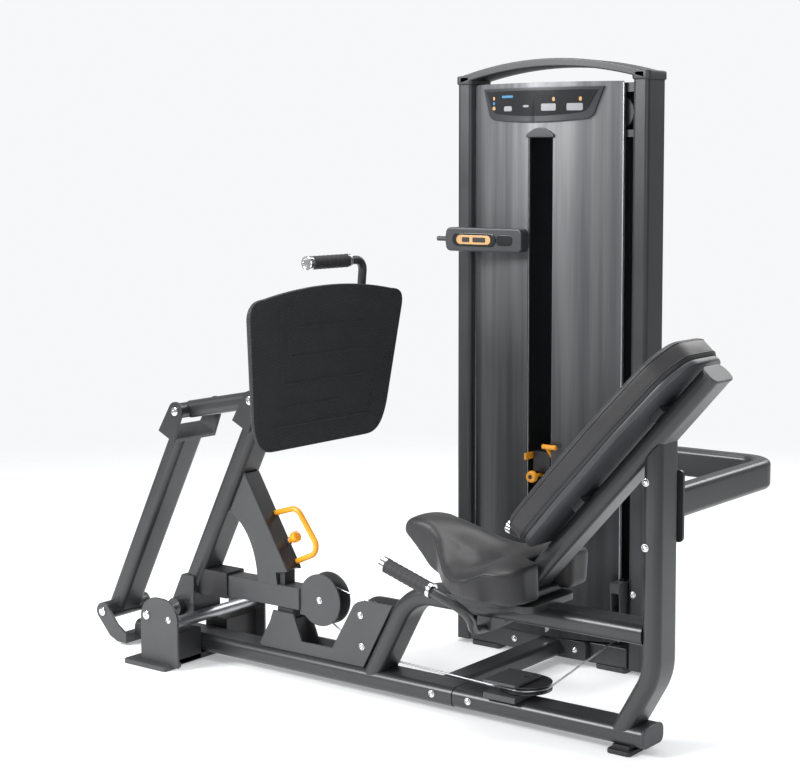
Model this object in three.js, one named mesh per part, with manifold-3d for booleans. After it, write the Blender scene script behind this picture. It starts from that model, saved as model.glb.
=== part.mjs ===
// A selectorised seated leg press: a floor rail with a four-bar footplate linkage at one end,
// a saddle seat and an inclined back pad at the other, and a weight tower beside the seat.
// Millimetres. X runs along the rail from the linkage to the seat, Y from the user side
// to the tower, Z up. The origin is at the centre of the footprint, on the floor.
import * as THREE from "three";
import { mergeVertices } from "three/addons/utils/BufferGeometryUtils.js";
import Module from "manifold-3d";

const wasm = await Module();
wasm.setup();

// ---------------------------------------------------------------- driving dimensions

const GAP = 0.3; // play between touching pieces
const ROOM = 0.6; // radial play of a pin in its bore
const MID_Y = 52; // the plane that the rail, seat, back pad and linkage share
const TUBE = { width: 100, thick: 50, corner: 20 }; // flat-oval frame tube
const HALF_TUBE = TUBE.width / 2;

const RAIL = { left: -1690, joint: -530, right: 28, z: 47, top: 72 };
const SEAT_TUBE_Z = 300; // centre of the level tube under the seat
const UPRIGHT_X = 47.5;
const BACK = { x: -340, z: 343, angle: THREE.MathUtils.degToRad(48.2), length: 803 };

const ARM = { x: 310, z: 630, thick: 55, ear: 85, earGap: 158 };
const REAR_PIVOT = { x: -1788, z: 90 };
const PRESS_PIVOT = { x: -1500, z: 145 };
const PIN_RADIUS = 8;

const LEVER = { left: -1329, right: -1064, bottom: 192, top: 254, width: 62 };
const LEVER_PULLEY = { x: -995, z: 230, cover: 72, groove: 42 };
const CABLE_ANCHOR = { x: -841, z: 215, groove: 28 };
const LOWER_PULLEY = { x: -836, z: 130, groove: 28 };
const RAIL_PULLEY = { x: -345, y: 75, z: 100, groove: 60 };

const PLATE = { x: -1016, z: 664, height: 420, crown: 44, top: 646, bottom: 532, lean: 0.09,
  pad: 12 };

const TOWER = { left: -942, right: -306, front: 602, depth: 100, post: 50, top: 1655 };
const SHROUD = { left: -889, right: -397, bottom: 78, top: 1654, sagitta: 62, edge: 630, wall: 5 };
const SLOT = { left: -669, right: -588, bottom: 130, top: 1508 };
const ROD = { left: -735, right: -523, y: 652, radius: 9 };
const STACK = { left: -770, right: -488, front: 612, back: 692, bottom: 75, top: 525, plate: 25 };
const CABLE_X = -629;
const SIDE_CABLE_X = -377;
const CABLE_RADIUS = 2.5;
const CABLE_SEAT = CABLE_RADIUS - 0.5; // from a pulley's groove radius to a cable's centre

// ---------------------------------------------------------------- finishes

const finish = (color, roughness, metalness) =>
  new THREE.MeshStandardMaterial({ color, roughness, metalness });
const FINISH = {
  frame: finish(0x2b2c2e, 0.45, 0.3),
  rubber: finish(0x1b1c1e, 0.8, 0),
  vinyl: finish(0x1f2022, 0.5, 0),
  chrome: finish(0xd8dadc, 0.15, 1),
  steel: finish(0x8c8f93, 0.35, 1),
  yellow: finish(0xf2a01c, 0.4, 0),
  silver: finish(0x76797d, 0.4, 0.6),
  plastic: finish(0x3a3c3f, 0.5, 0),
  iron: finish(0x242527, 0.6, 0.4),
};

// ---------------------------------------------------------------- booleans

function toSolid(geometry) {
  const bare = geometry.clone();
  bare.deleteAttribute("normal");
  bare.deleteAttribute("uv");
  const merged = mergeVertices(bare, 1e-3);
  return new wasm.Manifold(
    new wasm.Mesh({
      numProp: 3,
      vertProperties: merged.attributes.position.array,
      triVerts: new Uint32Array(merged.index.array),
    }),
  );
}

function toGeometry(solid) {
  const mesh = solid.getMesh();
  const geometry = new THREE.BufferGeometry();
  geometry.setAttribute("position", new THREE.BufferAttribute(mesh.vertProperties, 3));
  geometry.setIndex(new THREE.BufferAttribute(mesh.triVerts, 1));
  geometry.computeVertexNormals();
  return geometry;
}

const join = (...parts) => toGeometry(parts.map(toSolid).reduce((a, b) => a.add(b)));
const cut = (part, ...tools) =>
  toGeometry(tools.map(toSolid).reduce((a, b) => a.subtract(b), toSolid(part)));
const common = (a, b) => toGeometry(toSolid(a).intersect(toSolid(b)));

// ---------------------------------------------------------------- shapes

const point = (x, y, z) => new THREE.Vector3(x, y, z);
const inSidePlane = (x, z) => point(x, MID_Y, z);

function block(x, y, z) {
  const size = [x, y, z].map(([low, high]) => high - low);
  const middle = [x, y, z].map(([low, high]) => (low + high) / 2);
  return new THREE.BoxGeometry(...size).translate(...middle);
}

// A round bar along Y, X or Z through the two other coordinates given.
function barY(x, z, radius, [from, to], sides = 20) {
  return new THREE.CylinderGeometry(radius, radius, to - from, sides)
    .translate(x, (from + to) / 2, z);
}

function barZ(x, y, radius, [from, to], sides = 16) {
  return new THREE.CylinderGeometry(radius, radius, to - from, sides)
    .rotateX(Math.PI / 2)
    .translate(x, y, (from + to) / 2);
}

function barX(y, z, radius, [from, to], sides = 16) {
  return new THREE.CylinderGeometry(radius, radius, to - from, sides)
    .rotateZ(Math.PI / 2)
    .translate((from + to) / 2, y, z);
}

// A plate whose outline lies in the X-Z plane, between two values of Y.
function sidePlate(shape, [from, to], curveSegments = 8) {
  return new THREE.ExtrudeGeometry(shape, { depth: to - from, bevelEnabled: false, curveSegments })
    .rotateX(Math.PI / 2)
    .translate(0, to, 0);
}

// A plate whose outline lies in the X-Y plane, between two values of Z.
function topPlate(shape, [from, to], curveSegments = 8) {
  return new THREE.ExtrudeGeometry(shape, { depth: to - from, bevelEnabled: false, curveSegments })
    .translate(0, 0, from);
}

// A plate whose outline lies in the Y-Z plane, between two values of X.
function endPlate(shape, [from, to], curveSegments = 8) {
  const turn = new THREE.Matrix4().makeBasis(point(0, 1, 0), point(0, 0, 1), point(1, 0, 0));
  return new THREE.ExtrudeGeometry(shape, { depth: to - from, bevelEnabled: false, curveSegments })
    .applyMatrix4(turn)
    .translate(from, 0, 0);
}

function polygon(points) {
  return new THREE.Shape(points.map(([x, y]) => new THREE.Vector2(x, y)));
}

// The hole that an axle's plate needs, at (x, y) of the plate's outline.
const pinHole = (x, y) => new THREE.Path().absarc(x, y, PIN_RADIUS + ROOM, 0, 2 * Math.PI);

// A rectangle about (x, y) with round corners.
function roundRect(width, height, radius, x = 0, y = 0) {
  const shape = new THREE.Shape();
  const [w, h] = [width / 2 - radius, height / 2 - radius];
  shape.absarc(x + w, y + h, radius, 0, Math.PI / 2);
  shape.absarc(x - w, y + h, radius, Math.PI / 2, Math.PI);
  shape.absarc(x - w, y - h, radius, Math.PI, 1.5 * Math.PI);
  shape.absarc(x + w, y - h, radius, 1.5 * Math.PI, 2 * Math.PI);
  shape.closePath();
  return shape;
}

// The points of a line through the corners given, with a round bend at each inner one.
function roundedCorners(corners, radius, steps = 5) {
  return corners.flatMap((corner, i) => {
    if (!corners[i - 1] || !corners[i + 1]) return [corner];
    const back = corners[i - 1].clone().sub(corner).normalize();
    const ahead = corners[i + 1].clone().sub(corner).normalize();
    const half = back.angleTo(ahead) / 2;
    const middle = back.clone().add(ahead).normalize().multiplyScalar(radius / Math.sin(half));
    const centre = corner.clone().add(middle);
    const reach = radius / Math.tan(half);
    const start = corner.clone().addScaledVector(back, reach).sub(centre);
    const end = corner.clone().addScaledVector(ahead, reach).sub(centre);
    const turn = new THREE.Quaternion().setFromUnitVectors(
      start.clone().normalize(),
      end.clone().normalize(),
    );
    return Array.from({ length: steps + 1 }, (_, k) =>
      start.clone().applyQuaternion(new THREE.Quaternion().slerp(turn, k / steps)).add(centre),
    );
  });
}

// The centre line of a tube or cable that lies in one plane, sampled just at its own points.
class FlatPath extends THREE.Curve {
  constructor(points, planeNormal) {
    super();
    this.points = points;
    this.planeNormal = planeNormal;
  }

  getPoint(t) {
    const place = t * (this.points.length - 1);
    const i = Math.min(Math.floor(place), this.points.length - 2);
    return this.points[i].clone().lerp(this.points[i + 1], place - i);
  }

  getSpacedPoints() {
    return this.points;
  }

  computeFrenetFrames() {
    const step = (i) => this.points[i + 1].clone().sub(this.points[i]).normalize();
    const last = this.points.length - 1;
    const tangents = this.points.map((_, i) =>
      step(Math.min(i, last - 1)).add(step(Math.max(i - 1, 0))).normalize(),
    );
    const normals = tangents.map(() => this.planeNormal.clone());
    const binormals = tangents.map((t) => t.clone().cross(this.planeNormal));
    return { tangents, normals, binormals };
  }
}

// A tube with its width along the plane's normal.
function bentTube(corners, bendRadius, width, thick, corner, normal = point(0, 1, 0)) {
  const path = new FlatPath(roundedCorners(corners, bendRadius), normal);
  return new THREE.ExtrudeGeometry(roundRect(width, thick, corner), {
    steps: path.points.length - 1,
    extrudePath: path,
    curveSegments: 2,
  });
}

const frameTube = (corners, bendRadius) =>
  bentTube(corners, bendRadius, TUBE.width, TUBE.thick, TUBE.corner);

// A round bar along a smooth curve.
function curvedBar(points, radius, steps, sides = 10) {
  const ring = new THREE.Shape().absarc(0, 0, radius, 0, 2 * Math.PI);
  return new THREE.ExtrudeGeometry(ring, {
    steps,
    extrudePath: new THREE.CatmullRomCurve3(points, false, "centripetal"),
    curveSegments: sides,
  });
}

// A grooved wheel on an axis along Y, in one with the shaft that turns in its two cheeks.
function pulleyY({ x, z, groove }, [from, to], shaftReach) {
  const rim = groove + 6;
  const half = (to - from) / 2;
  const shaft = half + shaftReach;
  const profile = [
    [0, -shaft], [PIN_RADIUS, -shaft], [PIN_RADIUS, -half], [rim, -half], [rim, 3 - half],
    [groove - 1, -2], [groove - 1, 2], [rim, half - 3], [rim, half], [PIN_RADIUS, half],
    [PIN_RADIUS, shaft], [0, shaft],
  ].map(([r, h]) => new THREE.Vector2(r, h));
  return new THREE.LatheGeometry(profile, 20).translate(x, (from + to) / 2, z);
}

// An axle along Y with a flat round head at each end.
function axleY(x, z, [from, to], head = 13, headHeight = 5) {
  return join(
    barY(x, z, PIN_RADIUS, [from, to]),
    barY(x, z, head, [from - headHeight, from]),
    barY(x, z, head, [to, to + headHeight]),
  );
}

// ---------------------------------------------------------------- assembly

const machine = new THREE.Group();

function assembly(parent = machine) {
  const group = new THREE.Group();
  parent.add(group);
  return (name, geometry, material) => {
    const mesh = new THREE.Mesh(geometry, material);
    mesh.name = name;
    group.add(mesh);
    return mesh;
  };
}

const beside = (offset) => [MID_Y - offset, MID_Y + offset];
const mirroredY = ([from, to]) => [2 * MID_Y - to, 2 * MID_Y - from];

// ---------------------------------------------------------------- floor rail and feet

function buildBase() {
  const add = assembly();
  const railRun = (from, to) => [inSidePlane(from, RAIL.z), inSidePlane(to, RAIL.z)];
  add("rail_front", bentTube(railRun(RAIL.left, RAIL.joint), 1, TUBE.width + 4, TUBE.thick + 2,
    TUBE.corner), FINISH.frame);
  add("rail_rear", frameTube(railRun(RAIL.joint + GAP, RAIL.right), 1), FINISH.frame);
  add("rear_foot", join(
    topPlate(roundRect(66, 112, 10, -32, MID_Y), [0, 12]),
    block([-55, -9], [10, 94], [11, RAIL.z - TUBE.thick / 2 - GAP]),
  ), FINISH.rubber);
  add("front_foot", frontFoot(), FINISH.frame);
  const between = [FOOT_PLATE_Y[1] + GAP, mirroredY(FOOT_PLATE_Y)[0] - GAP];
  add("foot_cross_tube", cut(
    barY(-1418, 128, 17, between, 24),
    barY(-1418, 128, 13, [between[0] - 1, between[1] + 1], 20),
  ), FINISH.steel);
}

const FOOT_PLATE_Y = [-135, -127];
const FOOT_BASE_Y = [-162, -91];

// Two upright plates on floor plates, tied by a beam that crosses under the rail.
function frontFoot() {
  const [left, right, top, round] = [-1525, -1380, 200, 62];
  const outline = new THREE.Shape();
  outline.moveTo(left, 8);
  outline.lineTo(right, 8);
  outline.absarc(right - round, top - round, round, 0, Math.PI / 2);
  outline.absarc(left + round, top - round, round, Math.PI / 2, Math.PI);
  outline.closePath();
  outline.holes.push(pinHole(PRESS_PIVOT.x, PRESS_PIVOT.z));
  const foot = ([from, to]) =>
    topPlate(roundRect(166, to - from, 10, -1487, (from + to) / 2), [0, 14], 4);
  const railBottom = RAIL.z - TUBE.thick / 2 - 1 - GAP;
  const [beamX, beamTop] = [[-1500, -1415], railBottom - 1];
  const outer = [FOOT_PLATE_Y[1] - 1, mirroredY(FOOT_PLATE_Y)[0] + 1];
  const cheek = (y) => block(beamX, y, [3, 96]);
  return join(
    sidePlate(outline, FOOT_PLATE_Y),
    sidePlate(outline, mirroredY(FOOT_PLATE_Y)),
    foot(FOOT_BASE_Y),
    foot(mirroredY(FOOT_BASE_Y)),
    block(beamX, outer, [3, beamTop]),
    cheek([outer[0], -1]),
    cheek(mirroredY([outer[0], -1])),
  );
}

// ---------------------------------------------------------------- plates on the rail

function stopPlate() {
  const outline = new THREE.Shape();
  outline.moveTo(-1198, RAIL.top + 1.5);
  outline.lineTo(-1204, 82);
  outline.lineTo(-1166, 149);
  outline.lineTo(-1155, 181);
  outline.lineTo(-1080, 181);
  outline.lineTo(-1050, 108);
  outline.lineTo(-941, 108);
  outline.lineTo(-870, 232);
  outline.quadraticCurveTo(-858, 256, -814, 256);
  outline.lineTo(-734, 256);
  outline.lineTo(-832, RAIL.top + 1.5);
  outline.closePath();
  outline.holes.push(
    pinHole(CABLE_ANCHOR.x, CABLE_ANCHOR.z),
    pinHole(LOWER_PULLEY.x, LOWER_PULLEY.z),
  );
  return outline;
}

function buildStop() {
  const add = assembly();
  const nearY = [MID_Y - 37, MID_Y - 29];
  add("stop_bracket", cut(
    join(
      sidePlate(stopPlate(), nearY),
      sidePlate(stopPlate(), mirroredY(nearY)),
      block([-1158, -1082], beside(30), [RAIL.top + 1.5, 165]),
    ),
    riserClearance(),
  ), FINISH.frame);
  add("lever_bumper", topPlate(roundRect(66, 54, 12, -1119, MID_Y),
    [165 + GAP, LEVER.bottom - GAP], 4), FINISH.rubber);
  add("cable_anchor", pulleyY(CABLE_ANCHOR, beside(12), 23), FINISH.iron);
  add("lower_pulley", pulleyY(LOWER_PULLEY, beside(12), 23), FINISH.iron);
}

// ---------------------------------------------------------------- seat frame

const riserPath = [inSidePlane(-796.6 - 26.5, RAIL.top - 48), inSidePlane(-675, SEAT_TUBE_Z),
  inSidePlane(UPRIGHT_X - TUBE.thick / 2 - GAP, SEAT_TUBE_Z)];

// The space that the riser tube takes, with a little play round it.
function riserClearance() {
  return bentTube(riserPath, 120, TUBE.width + 2 * GAP, TUBE.thick + 2 * GAP, TUBE.corner);
}

const belowRailTop = () => block([-1900, 300], [-300, 400], [-100, RAIL.top + 1.5]);

// Everything on the upper side of the plane that lies under the back tube.
function aboveBackTube() {
  const play = TUBE.thick / 2 + GAP;
  return block([-900, 900], [-300, 400], [-play, 500])
    .rotateY(-BACK.angle)
    .translate(BACK.x, 0, BACK.z);
}

// A point in the side plane, measured along the back tube and square to it.
function onBack(along, out, y = MID_Y) {
  const [c, s] = [Math.cos(BACK.angle), Math.sin(BACK.angle)];
  return point(BACK.x + along * c - out * s, y, BACK.z + along * s + out * c);
}

const alongBack = (geometry) => geometry.rotateY(-BACK.angle).translate(BACK.x, 0, BACK.z);

function buildSeatFrame() {
  const add = assembly();
  const cableWay = new THREE.CylinderGeometry(7, 7, 140, 12)
    .rotateZ(Math.PI / 2)
    .translate(-790, 49, LOWER_PULLEY.z - LOWER_PULLEY.groove);
  const seatShelf = cut(
    topPlate(roundRect(300, 220, 30, -400, MID_Y), [SEAT_TUBE_Z + 20, 355.5]),
    alongBack(block([-200, 300], [-100, 200], [-26, 400])),
  );
  add("seat_riser", cut(join(frameTube(riserPath, 120), seatShelf), belowRailTop(), cableWay),
    FINISH.frame);
  add("seat_upright", cut(
    frameTube([inSidePlane(-29 - 25, RAIL.top - 44), inSidePlane(UPRIGHT_X, 204),
      inSidePlane(UPRIGHT_X, 830)], 150),
    belowRailTop(),
    aboveBackTube(),
  ), FINISH.frame);
  const seatTubeTop = block([-900, 300], [-300, 400], [100, SEAT_TUBE_Z + TUBE.thick / 2 + GAP]);
  const padBracket = (along) => alongBack(block([along, along + 40], beside(60), [20, BACK_PAD.back]));
  add("back_tube", cut(
    join(frameTube([onBack(-120, 0), onBack(BACK.length, 0)], 1), padBracket(300), padBracket(620)),
    seatTubeTop,
  ), FINISH.frame);
  const towardTower = MID_Y + HALF_TUBE + GAP;
  add("crossbeam", join(
    block([-633, -560], [towardTower + 2, 581], [24, 70]),
    sidePlate(roundRect(270, 54, 10, -612, 47), [580, TOWER.front - GAP]),
  ), FINISH.frame);
  add("tower_link", join(
    bentTube(
      [point(UPRIGHT_X, 111, 611), point(UPRIGHT_X, 652, 611), point(TOWER.right + GAP, 652, 611)],
      75, 76, TUBE.thick, 16, point(0, 0, 1),
    ),
    sidePlate(roundRect(66, 176, 12, UPRIGHT_X, 605), [towardTower, 112]),
  ), FINISH.frame);
}

// ---------------------------------------------------------------- seat, back pad and grips

function seatPlan() {
  const plan = new THREE.Shape();
  plan.moveTo(-696, MID_Y);
  plan.bezierCurveTo(-696, MID_Y - 46, -684, MID_Y - 58, -634, MID_Y - 62);
  plan.bezierCurveTo(-540, MID_Y - 66, -470, MID_Y - 204, -380, MID_Y - 206);
  plan.bezierCurveTo(-290, MID_Y - 208, -248, MID_Y - 190, -246, MID_Y - 110);
  plan.lineTo(-246, MID_Y + 110);
  plan.bezierCurveTo(-248, MID_Y + 190, -290, MID_Y + 208, -380, MID_Y + 206);
  plan.bezierCurveTo(-470, MID_Y + 204, -540, MID_Y + 66, -634, MID_Y + 62);
  plan.bezierCurveTo(-684, MID_Y + 58, -696, MID_Y + 46, -696, MID_Y);
  return plan;
}

function seatProfile() {
  const side = new THREE.Shape();
  side.moveTo(-690, 424);
  side.lineTo(-560, 362);
  side.lineTo(-240, 356);
  side.lineTo(-240, 446);
  side.bezierCurveTo(-290, 450, -340, 456, -400, 470);
  side.bezierCurveTo(-500, 490, -560, 515, -625, 514);
  side.bezierCurveTo(-680, 514, -704, 490, -706, 455);
  side.closePath();
  return side;
}

const BACK_PAD = { start: 150, end: 812, back: 36, front: 120 };

function backPadPlan() {
  const { start, end } = BACK_PAD;
  const half = 160;
  const topHalf = 116;
  const outline = [
    [start, half - 60], [start + 50, half - 12], [start + 160, half], [start + 420, half - 6],
    [end - 60, topHalf + 14], [end, topHalf - 30],
  ];
  const near = outline.map(([x, y]) => [x, MID_Y - y]);
  const far = outline.map(([x, y]) => [x, MID_Y + y]).reverse();
  return polygon([...near, ...far]);
}

function buildSeat() {
  const add = assembly();
  add("seat_pad", cut(
    common(topPlate(seatPlan(), [340, 530], 5), sidePlate(seatProfile(), beside(230), 5)),
    alongBack(block([-300, 900], beside(HALF_TUBE + 6), [-300, 31])),
    alongBack(block([BACK_PAD.start - 15, 900], beside(260), [BACK_PAD.back - 2, 300])),
  ), FINISH.vinyl);
  add("back_pad", alongBack(topPlate(backPadPlan(), [BACK_PAD.back + GAP, BACK_PAD.front])),
    FINISH.vinyl);
  buildHandles(add);
}

function buildHandles(add) {
  const half = [
    [-425, 282, 391], [-394, 281, 381], [-362, 268, 362], [-352, 235, 336], [-372, 185, 302],
    [-412, 125, 266], [-436, 75, 246], [-440, 25, 243],
  ];
  const side = (sign) => half.map(([x, y, z]) => point(x, MID_Y + sign * y, z));
  const clamp = block([-462, -418], beside(34),
    [SEAT_TUBE_Z - 62, SEAT_TUBE_Z - TUBE.thick / 2 - GAP]);
  add("handle_bar", join(curvedBar([...side(-1), ...side(1).reverse()], 12, 30, 5), clamp),
    FINISH.frame);
  [["grip_near", -1], ["grip_far", 1]].forEach(([name, sign]) => {
    const slope = Math.atan2(48, 153);
    const grip = barX(0, 0, 19, [-162, 0], 20)
      .rotateY(slope)
      .translate(-425.5, MID_Y + sign * 282, 391.4);
    add(name, grip, FINISH.rubber);
  });
}

// ---------------------------------------------------------------- the two arms

const ARM_ANGLE = Math.atan2(ARM.x, ARM.z);
const ARM_LENGTH = Math.hypot(ARM.x, ARM.z);
const EAR_IN = ARM.earGap / 2;
const EAR_THICK = 8;
const nearEar = [MID_Y - EAR_IN - EAR_THICK, MID_Y - EAR_IN];

// From a frame with its origin on the lower pivot and Z along the arm.
const onArm = (geometry, pivot) => geometry.rotateY(ARM_ANGLE).translate(pivot.x, 0, pivot.z);

function ear(bottom, top, halfWidth, round) {
  const shape = new THREE.Shape();
  shape.moveTo(-halfWidth, bottom);
  shape.lineTo(halfWidth, bottom);
  shape.lineTo(round, top);
  shape.absarc(0, top, round, 0, Math.PI);
  shape.closePath();
  shape.holes.push(pinHole(0, top));
  return shape;
}

// A tube with a bored sleeve at its foot and a two-eared fork at its head.
function arm() {
  const forkFoot = ARM_LENGTH - ARM.ear;
  const tube = topPlate(roundRect(ARM.thick, 98, 20, 0, MID_Y), [12, forkFoot + 1], 4);
  const fork = ear(forkFoot, ARM_LENGTH, 34, 27);
  const web = block([-34, 34], beside(EAR_IN + 1), [forkFoot, forkFoot + 12]);
  return cut(
    join(tube, web, sidePlate(fork, nearEar), sidePlate(fork, mirroredY(nearEar)),
      barY(0, 0, 27, beside(EAR_IN - 1))),
    barY(0, 0, PIN_RADIUS + ROOM, beside(EAR_IN + 20)),
  );
}

function buildRearLink() {
  const add = assembly();
  add("rear_link", onArm(arm(), REAR_PIVOT), FINISH.frame);
}

// The fork at the rail's end that carries the rear link.
function buildRearBracket() {
  const add = assembly();
  const cheek = new THREE.Shape();
  const lean = Math.PI / 6;
  cheek.absarc(REAR_PIVOT.x, REAR_PIVOT.z, 27, lean, lean + Math.PI);
  cheek.lineTo(-1760, 22);
  cheek.lineTo(-1728, 8);
  cheek.lineTo(RAIL.left - GAP, 8);
  cheek.lineTo(RAIL.left - GAP, 36);
  cheek.lineTo(-1728, 60);
  cheek.closePath();
  cheek.holes.push(pinHole(REAR_PIVOT.x, REAR_PIVOT.z));
  add("rear_bracket", join(
    sidePlate(cheek, nearEar),
    sidePlate(cheek, mirroredY(nearEar)),
    block([-1722, RAIL.left - GAP], beside(EAR_IN + 1), [8, 34]),
  ), FINISH.frame);
}

function buildPivotPins() {
  const add = assembly();
  const across = [nearEar[0] - GAP, mirroredY(nearEar)[1] + GAP];
  const top = (pivot) => [pivot.x + ARM.x, pivot.z + ARM.z];
  add("rear_link_lower_pin", axleY(REAR_PIVOT.x, REAR_PIVOT.z, across), FINISH.chrome);
  add("rear_link_upper_pin", axleY(...top(REAR_PIVOT), across), FINISH.chrome);
  add("press_arm_upper_pin", axleY(...top(PRESS_PIVOT), across), FINISH.chrome);
  add("press_arm_shaft", axleY(PRESS_PIVOT.x, PRESS_PIVOT.z, [-135 - GAP, 239 + GAP]),
    FINISH.chrome);
}

// ---------------------------------------------------------------- press arm, strut and lever

const STRUT_FACE = { low: [-1106, 295], high: [-1265.6, 557.5] };
const faceAngle = Math.atan2(
  STRUT_FACE.high[1] - STRUT_FACE.low[1],
  STRUT_FACE.high[0] - STRUT_FACE.low[0],
);
const faceNormal = { x: Math.sin(faceAngle), z: -Math.cos(faceAngle) };
const POP_PIN = { x: -1148.7, z: 365.3, y: 72, stem: 6 };

function strutOutline() {
  const shape = new THREE.Shape();
  shape.moveTo(-1217, LEVER.top - 2);
  shape.lineTo(-1143, LEVER.top - 2);
  shape.lineTo(-1149, 287);
  shape.lineTo(...STRUT_FACE.low);
  shape.lineTo(...STRUT_FACE.high);
  shape.lineTo(-1322.4, 442.4);
  shape.lineTo(-1281, 413);
  shape.lineTo(-1269, 400);
  shape.quadraticCurveTo(-1222, 345, -1217, LEVER.top - 2);
  return shape;
}

const squareToFace = (geometry) =>
  geometry.rotateY(Math.atan2(faceNormal.x, faceNormal.z)).translate(POP_PIN.x, POP_PIN.y, POP_PIN.z);

function buildPressArm() {
  const add = assembly();
  const boot = polygon([[-1534, 150], [-1490, 241], [-1441, 241], [-1441, 128], [-1492, 112],
    [-1522, 122]]);
  const armShape = cut(
    join(onArm(arm(), PRESS_PIVOT), sidePlate(boot, beside(56))),
    barY(PRESS_PIVOT.x, PRESS_PIVOT.z, PIN_RADIUS + ROOM, beside(EAR_IN + 20)),
  );
  add("press_arm", armShape, FINISH.frame);
  add("lever", lever(), FINISH.frame);
  add("adjust_handle", adjustHandle(), FINISH.yellow);
  add("pop_pin", squareToFace(popPin()), FINISH.yellow);
  add("lever_pulley", pulleyY(LEVER_PULLEY, beside(12), 11), FINISH.iron);
}

// The arm's own tube, with play round it.
function armClearance() {
  return onArm(
    topPlate(roundRect(ARM.thick + 2 * GAP, 98 + 2 * GAP, 20, 0, MID_Y), [12, 400], 4),
    PRESS_PIVOT,
  );
}

function adjustHandle() {
  const y = 76;
  const corners = [[-1194, 443], [-1116, 466], [-1030, 352], [-1117, 314]]
    .map(([x, z]) => point(x, y, z));
  const rodding = bentTube(corners, 30, 16, 16, 7.9);
  const offset = GAP + 0.2;
  const behindFace = polygon([
    [STRUT_FACE.low[0] + offset + 40 * 0.52, STRUT_FACE.low[1] - 40 * 0.855],
    [STRUT_FACE.high[0] + offset - 40 * 0.52, STRUT_FACE.high[1] + 40 * 0.855],
    [STRUT_FACE.high[0] - 200, STRUT_FACE.high[1]],
    [STRUT_FACE.low[0] - 200, STRUT_FACE.low[1] - 34],
  ]);
  return cut(rodding, sidePlate(behindFace, [y - 30, y + 30]));
}

function popPin() {
  const profile = [[0, -40], [POP_PIN.stem, -38], [POP_PIN.stem, 22], [13, 24], [16, 30], [16, 42],
    [12, 46], [0, 46]].map(([r, h]) => new THREE.Vector2(r, h));
  return new THREE.LatheGeometry(profile, 20).rotateX(Math.PI / 2);
}

// A beam clamped to the arm, with a strut up to the arm and a pulley fork at its free end.
function lever() {
  const { x, z, cover } = LEVER_PULLEY;
  const low = Math.asin(50 / cover);
  const cheek = new THREE.Shape();
  cheek.moveTo(LEVER.right - 2, z - 50);
  cheek.lineTo(x - Math.cos(low) * cover, z - 50);
  cheek.absarc(x, z, cover, Math.PI + low, 3 * Math.PI - 0.35);
  cheek.lineTo(LEVER.right - 2, z + 24);
  cheek.closePath();
  cheek.holes.push(pinHole(x, z));
  const cheekY = [MID_Y - 24, MID_Y - 18];
  const beam = block([LEVER.left - 2, LEVER.right], beside(LEVER.width / 2),
    [LEVER.bottom, LEVER.top]);
  const clamp = block([-1441 + GAP, LEVER.left], beside(38), [186, 262]);
  const strutFoot = block([-1142, -1122], beside(22), [LEVER.top - 2, 300]);
  return cut(
    join(
      beam,
      clamp,
      sidePlate(strutOutline(), beside(LEVER.width / 2)),
      strutFoot,
      sidePlate(cheek, cheekY, 20),
      sidePlate(cheek, mirroredY(cheekY), 20),
    ),
    armClearance(),
    squareToFace(barZ(0, 0, POP_PIN.stem + 0.8, [-46, 30])),
  );
}

// ---------------------------------------------------------------- footplate carriage

const REAR_TOP = { x: REAR_PIVOT.x + ARM.x, z: REAR_PIVOT.z + ARM.z };
const LINK_ANGLE = Math.atan2(PRESS_PIVOT.z - REAR_PIVOT.z, PRESS_PIVOT.x - REAR_PIVOT.x);
const LINK_LENGTH = Math.hypot(PRESS_PIVOT.z - REAR_PIVOT.z, PRESS_PIVOT.x - REAR_PIVOT.x);
const COUPLER_END = LINK_LENGTH + 140;

// From a frame with its origin on the rear link's upper pivot and X along the coupler.
const onCoupler = (geometry) =>
  geometry.rotateY(-LINK_ANGLE).translate(REAR_TOP.x, 0, REAR_TOP.z);

const leaned = (geometry) => geometry.rotateY(PLATE.lean).translate(PLATE.x, 0, PLATE.z);

function footplateOutline(inset = 0) {
  const [bottom, top] = [PLATE.bottom / 2 - inset, PLATE.top / 2 - inset];
  const [low, high] = [inset, PLATE.height - inset];
  const shape = new THREE.Shape();
  shape.moveTo(MID_Y - bottom + 70, low);
  shape.lineTo(MID_Y + bottom - 70, low);
  shape.bezierCurveTo(MID_Y + bottom - 20, low, MID_Y + bottom + 5, low + 25, MID_Y + bottom + 18,
    low + 90);
  shape.lineTo(MID_Y + top, high - 55);
  shape.bezierCurveTo(MID_Y + top + 2, high - 25, MID_Y + top - 8, high - 8, MID_Y + top - 50,
    high - 6);
  shape.quadraticCurveTo(MID_Y, high + PLATE.crown, MID_Y - top + 50, high - 6);
  shape.bezierCurveTo(MID_Y - top + 8, high - 8, MID_Y - top - 2, high - 25, MID_Y - top,
    high - 55);
  shape.lineTo(MID_Y - bottom - 18, low + 90);
  shape.bezierCurveTo(MID_Y - bottom - 5, low + 25, MID_Y - bottom + 20, low, MID_Y - bottom + 70,
    low);
  return shape;
}

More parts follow.
